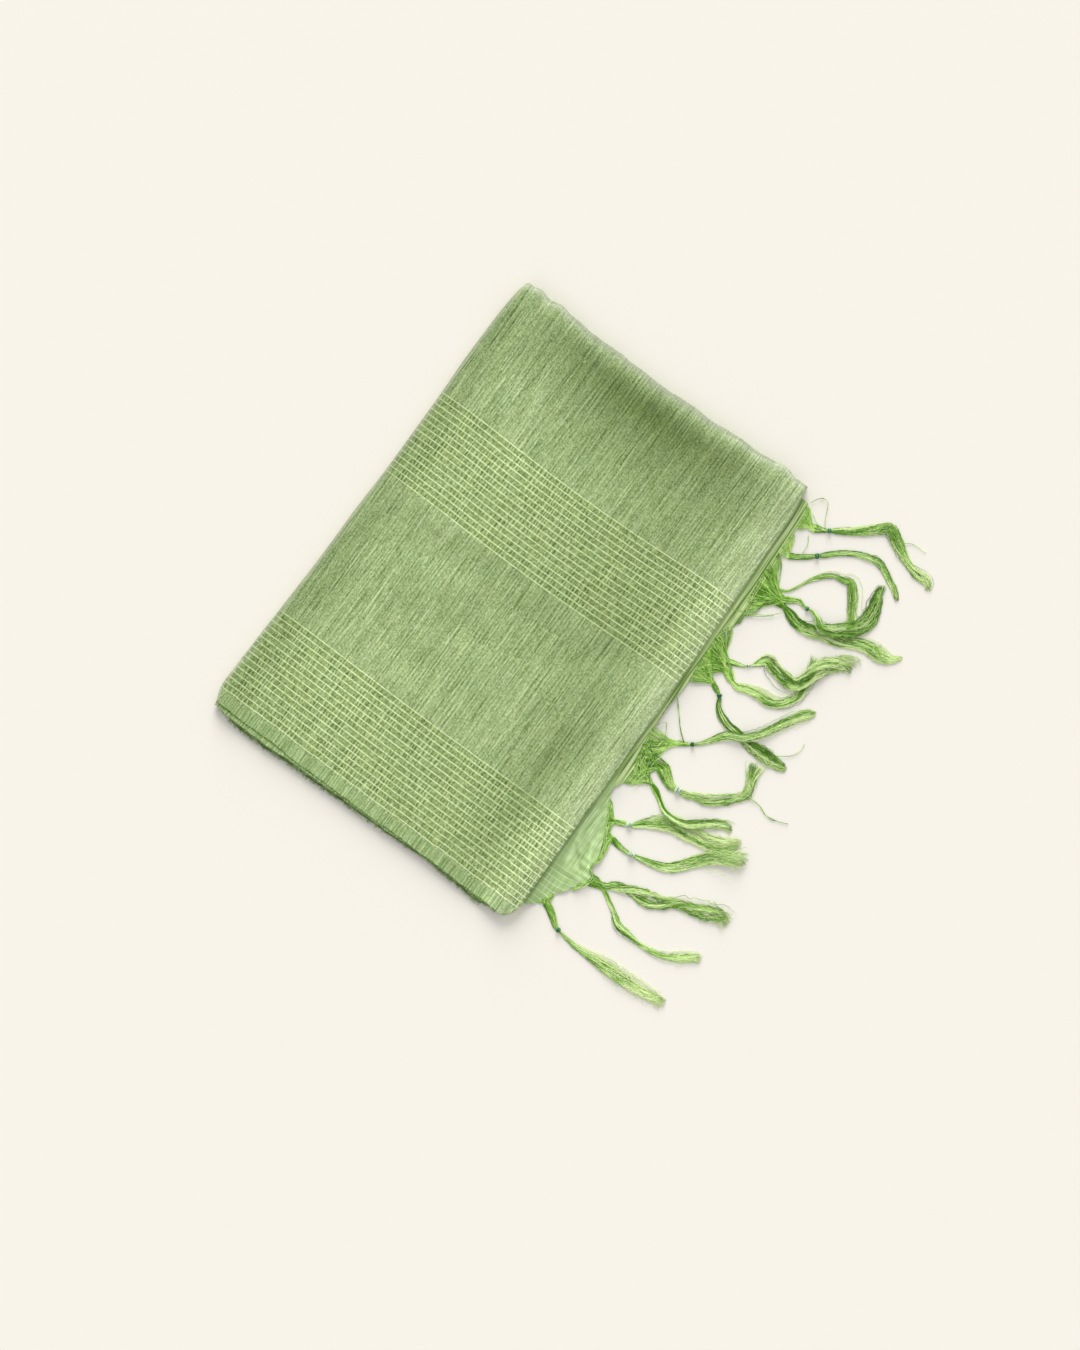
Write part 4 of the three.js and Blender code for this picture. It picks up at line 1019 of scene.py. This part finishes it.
# The ways of single threads that have pulled loose, by the tassel they belong to.
STRAYS = {
    "tassel_01": [
        [(206, 283, 1), (214, 284.5, 2.5), (219, 277, 3), (224, 266, 2), (230, 258, 2)],
        [(200, 272, 2), (204, 280, 2), (209, 285, 1.5)],
        [(209, 264, 2), (217, 259, 2), (226, 256, 2), (232, 257, 2)],
        [(305, 292, 1.5), (314, 300, 1), (324, 302, 0.8), (334, 302, 0.8)],
    ],
    "tassel_02": [
        [(219, 242, 1), (224, 234, 1.5), (225, 225, 1.5), (226, 218, 2)],
    ],
    "tassel_04": [
        [(196, 127, 12), (206, 131, 6), (218, 136, 3), (236, 147, 2), (246, 158, 2)],
        [(199, 128, 9), (212, 133, 4), (226, 138, 2), (240, 149, 2)],
    ],
    "tassel_03": [
        [(205, 192, 2), (214, 187, 2), (222, 181, 2), (229, 175, 2)],
    ],
    "tassel_08": [
        [(330, 26, 2), (338, 31, 1.5), (346, 38, 1), (350, 47, 0.8), (349, 56, 0.8)],
    ],
    "tassel_09": [
        [(196, 20, 6), (208, 14, 2), (220, 1.5, 1.5), (229, -9.5, 1.5), (241, -20, 2)],
        [(198, 19, 5), (211, 10, 2), (221, -1, 1.5), (231, -11, 1.5), (242, -20, 2)],
        [(207, -22, 2), (213, -14, 3), (218, -20, 3), (222, -28, 3)],
    ],
    "tassel_10": [
        [(329, -29, 2), (339, -26, 2), (353, -28.5, 1.2), (366, -32.5, 1), (386, -25.5, 1)],
        [(328, -28, 2), (336, -27.5, 2), (349, -28, 1.2), (362, -32, 1), (378, -29, 1)],
        [(327, -26, 3), (330, -20, 3), (332, -15, 2)],
    ],
    "tassel_11": [
        [(212, -36, 4), (213, -48, 5), (211, -60, 5), (214, -74, 4), (224, -82, 3)],
        [(222, -33, 4), (221, -46, 5), (223, -60, 5), (229, -74, 4), (238, -82, 2)],
        [(229, -30, 4), (231, -44, 5), (228, -58, 5), (232, -70, 4), (240, -80, 2)],
    ],
}

# The thread bound round each kind of knot: how far out it lies, its own radius, its turns, and how
# far along the tassel they spread.
BINDINGS = {
    "dark": {"radius": 1.9, "thread": 0.75, "turns": 5, "spread": 2.2},
    "pale": {"radius": 2.4, "thread": 0.6, "turns": 6, "spread": 5.5},
    "thin": {"radius": 1.0, "thread": 0.4, "turns": 3, "spread": 5.5},
}
BINDING_TURN = 2 * math.pi * 1.06  # each turn laps over its own start
BINDING_SIDES = 6

THREADS = 96  # in each tassel
THREAD_RADIUS = 0.3
THREAD_SIDES = 3
LOWEST = 0.45 + THREAD_RADIUS  # the height of a thread that lies on the board
LOCKS = 9  # bunches of threads that keep together
LINE_POINTS = 200  # along a tassel's route
FAN_STEPS = 9
TAIL_PITCH = 3.2  # between the stations of a thread
TWIST = 2.2  # radians, where a row gives none
WAVE_PITCHES = (2.2, 4.5, 9.0)
TAIL_SPREAD = 0.57  # how far out the threads reach, as a share of the tail's width
STRAY_SHARE = 0.18  # of the threads part from their lock somewhere on the way
STRAY_RADIUS = 0.32
SLACK_PAST = (0.6, 2.4)  # how far past the woven edge the slack picks lie
SLACK_RADIUS = 0.28
SLACK_TONE = 0.35
FINE_SIDES = 4  # of the slack picks and the strays
FINE_STATIONS = 26
FRESH_STEPS = 12  # from where a tassel gathers to where it is as pale as its tail


def smooth_line(points, count):
    """count points evenly along the smooth curve through the given ones, and its length."""
    points = np.array(points, float)
    before = 2 * points[0] - points[1]
    after = 2 * points[-1] - points[-2]
    through = np.vstack([before, points, after])
    t = np.linspace(0, 1, 13)[:-1, None]
    fine = []
    for k in range(len(points) - 1):
        a, b, c, d = through[k : k + 4]
        square = (2 * a - 5 * b + 4 * c - d) * t**2
        cube = (3 * b - a - 3 * c + d) * t**3
        fine.append(0.5 * (2 * b + (c - a) * t + square + cube))
    fine = np.vstack(fine + [points[-1:]])
    gaps = np.linalg.norm(np.diff(fine[:, :3], axis=0), axis=1)
    length = np.concatenate([[0], np.cumsum(gaps)])
    at = np.linspace(0, length[-1], count)
    line = np.stack([np.interp(at, length, fine[:, k]) for k in range(fine.shape[1])], axis=1)
    return line, length[-1]


def point_on(line, at, columns=4):
    """The line's own values at a place, or at many, counted in its points."""
    steps = np.arange(LINE_POINTS)
    return np.stack([np.interp(at, steps, line[:, k]) for k in range(columns)], axis=-1)


def threads_mesh(ways, radii, sides, stamps):
    """Points, faces and UVs of many round threads: one way and one radius row for each.

    All the ways have the same number of stations. U is the thread's stamp, V is metres along it.
    """
    ways = np.asarray(ways)
    count, stations = ways.shape[:2]
    run = np.gradient(ways, axis=1)
    run /= np.maximum(np.linalg.norm(run, axis=2, keepdims=True), 1e-9)
    side = np.cross(run, [0, 0, 1.0])
    side /= np.maximum(np.linalg.norm(side, axis=2, keepdims=True), 1e-9)
    up = np.cross(side, run)
    angles = 2 * np.pi * np.arange(sides) / sides
    ring = side[:, :, None] * np.cos(angles)[:, None] + up[:, :, None] * np.sin(angles)[:, None]
    points = ways[:, :, None] + ring * radii[:, :, None, None]
    base = (np.arange(count)[:, None, None] * stations + np.arange(stations - 1)[:, None]) * sides
    k = np.arange(sides)
    after = (k + 1) % sides
    faces = np.stack([base + k, base + sides + k, base + sides + after, base + after], axis=-1)
    first = np.arange(count)[:, None] * stations * sides
    ends = np.concatenate([first + k, first + (stations - 1) * sides + k[::-1]])
    gaps = np.linalg.norm(np.diff(ways, axis=1), axis=2)
    along = np.concatenate([np.zeros((count, 1)), np.cumsum(gaps, axis=1)], axis=1)
    u = np.broadcast_to(stamps[:, None, None], (count, stations, sides))
    v = np.broadcast_to(along[:, :, None] * MM, (count, stations, sides))
    faces = faces.reshape(-1, 4).tolist() + ends.tolist()
    return points.reshape(-1, 3) * MM, faces, np.stack([u, v], axis=-1).reshape(-1, 2)


def even_threads(ways, radius, sides, stamps):
    """The mesh of threads that are one thickness all along."""
    return threads_mesh(ways, np.full(ways.shape[:2], radius), sides, stamps)


def joined(meshes):
    """Points, faces and UVs of several meshes, as one."""
    faces = []
    start = 0
    for points, own_faces, _ in meshes:
        faces += [[start + corner for corner in face] for face in own_faces]
        start += len(points)
    uvs = np.concatenate([mesh[2] for mesh in meshes])
    return np.concatenate([mesh[0] for mesh in meshes]), faces, uvs


def swing(root, leave, end, arrive):
    """The way from root to end, which sets out along leave and comes in along arrive."""
    t = np.linspace(0, 1, FAN_STEPS + 1)[:-1, None]
    way = root * (2 * t**3 - 3 * t**2 + 1) + end * (3 * t**2 - 2 * t**3)
    return t, way + leave * (t**3 - 2 * t**2 + t) + arrive * (t**3 - t**2)


def tassel_ways(row, dice):
    """The way of each thread of one tassel, its radius and tone at each station, and its stamp."""
    route = np.array([(*p, 0) if len(p) == 3 else p for p in row["route"]])
    line, length = smooth_line(route, LINE_POINTS)
    stations = int(length / TAIL_PITCH)
    lock_turn = dice.uniform(0, 2 * np.pi, LOCKS)
    lock_out = np.sqrt(dice.uniform(0.2, 1.0, LOCKS))
    lock_slip = dice.uniform(0.0, 0.04, LOCKS)
    lock_fray = dice.normal(0, 0.6, LOCKS)
    lock_tone = dice.permutation(np.linspace(-0.65, 0.65, LOCKS))
    twist = dice.choice([-1, 1]) * dice.uniform(0.8, 1.2) * row.get("twist", TWIST)
    ways, radii, stamps, tones = [], [], [], []
    knot_share = row["knot_at"] / (len(route) - 1)
    low, high = row["roots"]
    for n in range(THREADS):
        lock = n * LOCKS // THREADS
        y = low + (high - low) * (n + dice.uniform(0, 1)) / THREADS
        reach = 1 - lock_slip[lock] - abs(dice.normal(0, 0.016))
        share = np.linspace(0, reach, stations)
        place = point_on(line, share * (LINE_POINTS - 1))
        run = np.gradient(place[:, :2], axis=0)
        run /= np.linalg.norm(run, axis=1, keepdims=True)
        across = np.stack([run[:, 1], -run[:, 0]], axis=1)
        # Where in its tassel the thread lies: round the middle with its lock, and how far out.
        angle = lock_turn[lock] + dice.normal(0, 0.35) + twist * share
        out = np.clip(lock_out[lock] + dice.normal(0, 0.1), 0, 1.08)
        wave = sum(
            dice.normal(0, 0.05 + 0.08 * share**2)
            * np.sin(share * length / pitch + dice.uniform(0, 6.3))
            for pitch in WAVE_PITCHES
        )
        fray = (lock_fray[lock] + dice.normal(0, 0.4)) * np.clip((share - 0.82) / 0.18, 0, 1) ** 1.6
        wide = place[:, 2] * TAIL_SPREAD * (1 - 0.45 * near(share - knot_share, 0.03))
        leaves_at = dice.uniform(0.1, 0.9)
        astray = dice.normal(0, 0.6) * ramp(share, leaves_at, leaves_at + 0.2)
        astray = astray * (dice.uniform() < STRAY_SHARE)
        sideways = wide * (out * np.cos(angle) + wave + fray + astray)
        thick = np.clip(place[:, 2] * 0.06, 0.35, 0.8)
        upward = thick * (1 + out * np.sin(angle) + 0.5 * wave)
        tail = np.empty((stations, 3))
        tail[:, :2] = place[:, :2] + across * sideways[:, None]
        tail[:, 2] = LOWEST + upward + place[:, 3]
        # From the woven edge the thread swings over to where its tassel gathers.
        root = np.array([woven_edge(y) - dice.uniform(0.2, 2.2), y, 0])
        root[2] = end_height(root[0], y) + dice.uniform(-0.4, 0.1)
        span = np.linalg.norm(tail[0] - root)
        leave = np.array([dice.uniform(0.5, 1.2), dice.normal(0, 0.25), 0]) * span
        arrive = np.array([*run[0], 0]) * span * dice.uniform(0.5, 1.1)
        t, fan = swing(root, leave, tail[0], arrive)
        fan += dice.normal(0, 0.35, (1, 3)) * np.sin(np.pi * t) * np.sin(9 * t + dice.uniform(0, 6))
        fan[:, 2] = np.maximum(fan[:, 2], LOWEST)
        ways.append(np.vstack([fan, tail]))
        step = np.arange(len(ways[-1]))
        finer = np.interp(step, [0, len(step) - 6, len(step) - 1], [1, 1, 0.45])
        radii.append(THREAD_RADIUS * dice.uniform(0.85, 1.2) * finer)
        stamps.append((lock + 0.75 * dice.uniform()) * 0.01)
        tone = lock_tone[lock] + np.interp(step, [FAN_STEPS, len(step) - 4], row["shade"])
        tone[:FAN_STEPS] = row["fan"] + (0.7 if dice.uniform() < 0.2 else -0.1)
        tones.append(tone)
    return np.array(ways), np.array(radii), np.array(stamps), np.array(tones), line


def slack_picks(row, dice):
    """The last picks, which have slipped off the woven edge and lie wavily over the fanned warp."""
    low, high = row["roots"]
    ways = []
    for past in row.get("slack", SLACK_PAST):
        y = np.linspace(low + dice.uniform(0, 5), high - dice.uniform(0, 5), FINE_STATIONS)
        share = (y - low) / (high - low)
        x = woven_edge(y) + past + (0.4 + 0.12 * past) * np.sin(y / 2.6 + dice.uniform(0, 6.3))
        x += past * 0.25 * np.sin(np.pi * share + dice.uniform(-0.6, 0.6))
        z = end_height(x, y) + 0.9 + 0.25 * np.sin(y / 1.7)
        ways.append(np.stack([x, y, z], axis=1))
    return np.array(ways)


def binding_ways(line, row, dice):
    """The turns of thread round a tassel's knot, and how thick they are."""
    kind = BINDINGS[row["knot"]]
    centre = (LINE_POINTS - 1) * row["knot_at"] / (len(row["route"]) - 1)
    spot = point_on(line, centre)
    run = point_on(line, centre + 3, 2) - spot[:2]
    run /= np.linalg.norm(run)
    side = np.array([run[1], -run[0]])
    wide = max(spot[2] * 0.5, kind["radius"])
    t = np.linspace(0, BINDING_TURN, 15)
    ways = []
    for n in range(kind["turns"]):
        start = (n / (kind["turns"] - 1) - 0.5) * kind["spread"]
        swell = 1 - 0.25 * abs(start) / 2.75
        along = start + dice.normal(0, 0.5) * np.sin(t)
        x = spot[0] + run[0] * along + side[0] * wide * swell * np.cos(t)
        y = spot[1] + run[1] * along + side[1] * wide * swell * np.cos(t)
        z = 0.5 + kind["thread"] + kind["radius"] * (1 + swell * np.sin(t)) * 0.8 + spot[3]
        ways.append(np.stack([x, y, z], axis=1))
    return np.array(ways)


YARN_SPECKLE = {"lock": 2.2, "thread": 2.6}


def yarn_finish(name, dark, mid, light):
    """Glossy unwoven silk: locks of one shade, threads within them, and slow changes along them."""
    weave = Weave(name)
    lock = weave.noise(9.0, 34, detail=1, seed=31.0)
    thread = weave.noise(1.1, 12, detail=2, seed=32.0)
    tone = weave.blend([(lock, YARN_SPECKLE["lock"]), (thread, YARN_SPECKLE["thread"])])
    colour = weave.ramp(weave.plus(tone, weave.held("shade")), dark, mid, light)
    colour = weave.toned(colour, weave.held("fresh"), each=(-0.13, -0.02, -0.34))
    weave.feed(colour, weave.shader.inputs["Base Color"])
    weave.shader.inputs["Roughness"].default_value = 0.42
    weave.shader.inputs["Specular IOR Level"].default_value = 0.18
    weave.shader.inputs["Sheen Weight"].default_value = 0.04
    weave.shader.inputs["Sheen Tint"].default_value = light
    return weave.material


YARN = (srgb(84, 132, 34), srgb(160, 208, 94), srgb(232, 250, 184))  # dark, middle and light
DARK_BINDING = (srgb(36, 88, 52), srgb(52, 110, 66), srgb(120, 170, 130))
PALE_BINDING = (srgb(150, 184, 140), srgb(196, 222, 190), srgb(236, 244, 226))
yarn = yarn_finish("warp_yarn", *YARN)
dark_binding = yarn_finish("dark_binding", *DARK_BINDING)
pale_binding = yarn_finish("pale_binding", *PALE_BINDING)


def loose_stamps(dice, count):
    """Stamps of threads that belong to no lock."""
    return 0.03 + 0.06 * dice.uniform(size=count)


def tassel_object(row, dice):
    """One tassel: its threads, its slack picks, its strays and its binding, in that order."""
    ways, radii, stamps, tones, line = tassel_ways(row, dice)
    meshes = [threads_mesh(ways, radii, THREAD_SIDES, stamps)]
    shades = [np.repeat(tones.reshape(-1), THREAD_SIDES)]
    slack = slack_picks(row, dice)
    meshes.append(even_threads(slack, SLACK_RADIUS, FINE_SIDES, loose_stamps(dice, len(slack))))
    shades.append(np.full(len(meshes[-1][0]), SLACK_TONE))
    for stray in STRAYS.get(row["node"], ()):
        way, _ = smooth_line(stray, FINE_STATIONS)
        way = way[None] + dice.normal(0, 0.12, (1, FINE_STATIONS, 3)) * np.array([1, 1, 0])
        meshes.append(even_threads(way, STRAY_RADIUS, FINE_SIDES, loose_stamps(dice, 1)))
    bound = row["knot"] in BINDINGS
    if bound:
        turns = binding_ways(line, row, dice)
        stamps = dice.uniform(0, 0.1, len(turns))
        thread = BINDINGS[row["knot"]]["thread"]
        meshes.append(even_threads(turns, thread, BINDING_SIDES, stamps))
    points, faces, uvs = joined(meshes)
    shades.append(np.zeros(len(points) - len(shades[0]) - len(shades[1])))
    # The warp is freshest in colour where it leaves the cloth, before the binding.
    gathered = [FAN_STEPS, FAN_STEPS + FRESH_STEPS]
    reach = np.tile(np.interp(np.arange(ways.shape[1]), gathered, [1, 0]), len(ways))
    fresh = np.zeros(len(points))
    fresh[: reach.size * THREAD_SIDES] = np.repeat(reach, THREAD_SIDES)
    values = {"shade": np.concatenate(shades), "fresh": fresh}
    made = mesh_object(row["node"] + "_yarn", points, faces, uvs, values)
    made.data.materials.append(yarn)
    if bound:
        made.data.materials.append(pale_binding if row["knot"] == "pale" else dark_binding)
        finish = np.zeros(len(faces), np.int32)
        finish[len(faces) - len(meshes[-1][1]) :] = 1
        made.data.polygons.foreach_set("material_index", finish)
    made.data.shade_smooth()
    return made


tassel_dice = np.random.default_rng(16)
for row in TASSELS:
    tassel = tassel_object(row, tassel_dice)
    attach(tassel, "root")
    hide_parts(row["node"])

# ---- The loose fibres of the selvedges --------------------------------------------------------
# Reeled and spun silk sheds: short broken fibres stand out all along the stacked selvedges, from
# the ply on top down to the layers inside.

FIBRES = 1500
FIBRE_SEED = 5
FIBRE_RADIUS = 0.15
FIBRE_SIDES = 3
FIBRE_TAPER = np.array([1, 1, 1, 0.8, 0.5])  # of its radius, at each of its stations
FIBRE_REACH = (-188, 184)
FIBRE_LONG = (0.6, 2.8)
# What a fibre stands out of: the ply on top, the ply under it, or the layers inside.
FIBRE_EDGES = [top_selvedge, under_selvedge, hidden_selvedge]
FIBRE_SHARES = [0.3, 0.3, 0.4]
# Painted shade: a fibre is the darker the deeper in the stack it stands.
FIBRE_PAINTED_SHADES = [-0.15, -0.3, -0.75]
fibre_dice = np.random.default_rng(FIBRE_SEED)
fibre_ways, fibre_shades = [], []
steps = np.linspace(-0.5, 1, len(FIBRE_TAPER))[:, None]
for _ in range(FIBRES):
    x = fibre_dice.uniform(*FIBRE_REACH)
    ply = fibre_dice.choice(3, p=FIBRE_SHARES)
    edge = FIBRE_EDGES[ply](x)
    top = float(top_height(np.array(x), np.array(edge)))
    z = (top - 0.2, top - 1.0, fibre_dice.uniform(2.6, top - 2.6))[ply]
    long = fibre_dice.uniform(*FIBRE_LONG)
    lean = fibre_dice.normal(0, 0.8)
    drop = fibre_dice.uniform(-0.5, 0.6)
    way = np.array([x, edge, z]) + steps * long * np.array([lean * 0.6, -1, -drop])
    way[:, 0] += 0.25 * fibre_dice.normal() * np.sin(3 * steps[:, 0])
    fibre_ways.append(way)
    fibre_shades.append(fibre_dice.normal(FIBRE_PAINTED_SHADES[ply], 0.35))
fibre_radii = np.full((FIBRES, 1), FIBRE_RADIUS) * FIBRE_TAPER
fibre_stamps = fibre_dice.uniform(0, 0.1, FIBRES)
fibre_mesh = threads_mesh(fibre_ways, fibre_radii, FIBRE_SIDES, fibre_stamps)
fibre_shade = np.repeat(fibre_shades, len(FIBRE_TAPER) * FIBRE_SIDES)
fibres = mesh_object("selvedge_fibres", *fibre_mesh, {"shade": fibre_shade})
fibres.data.materials.append(yarn)
fibres.data.shade_smooth()
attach(fibres, "root")
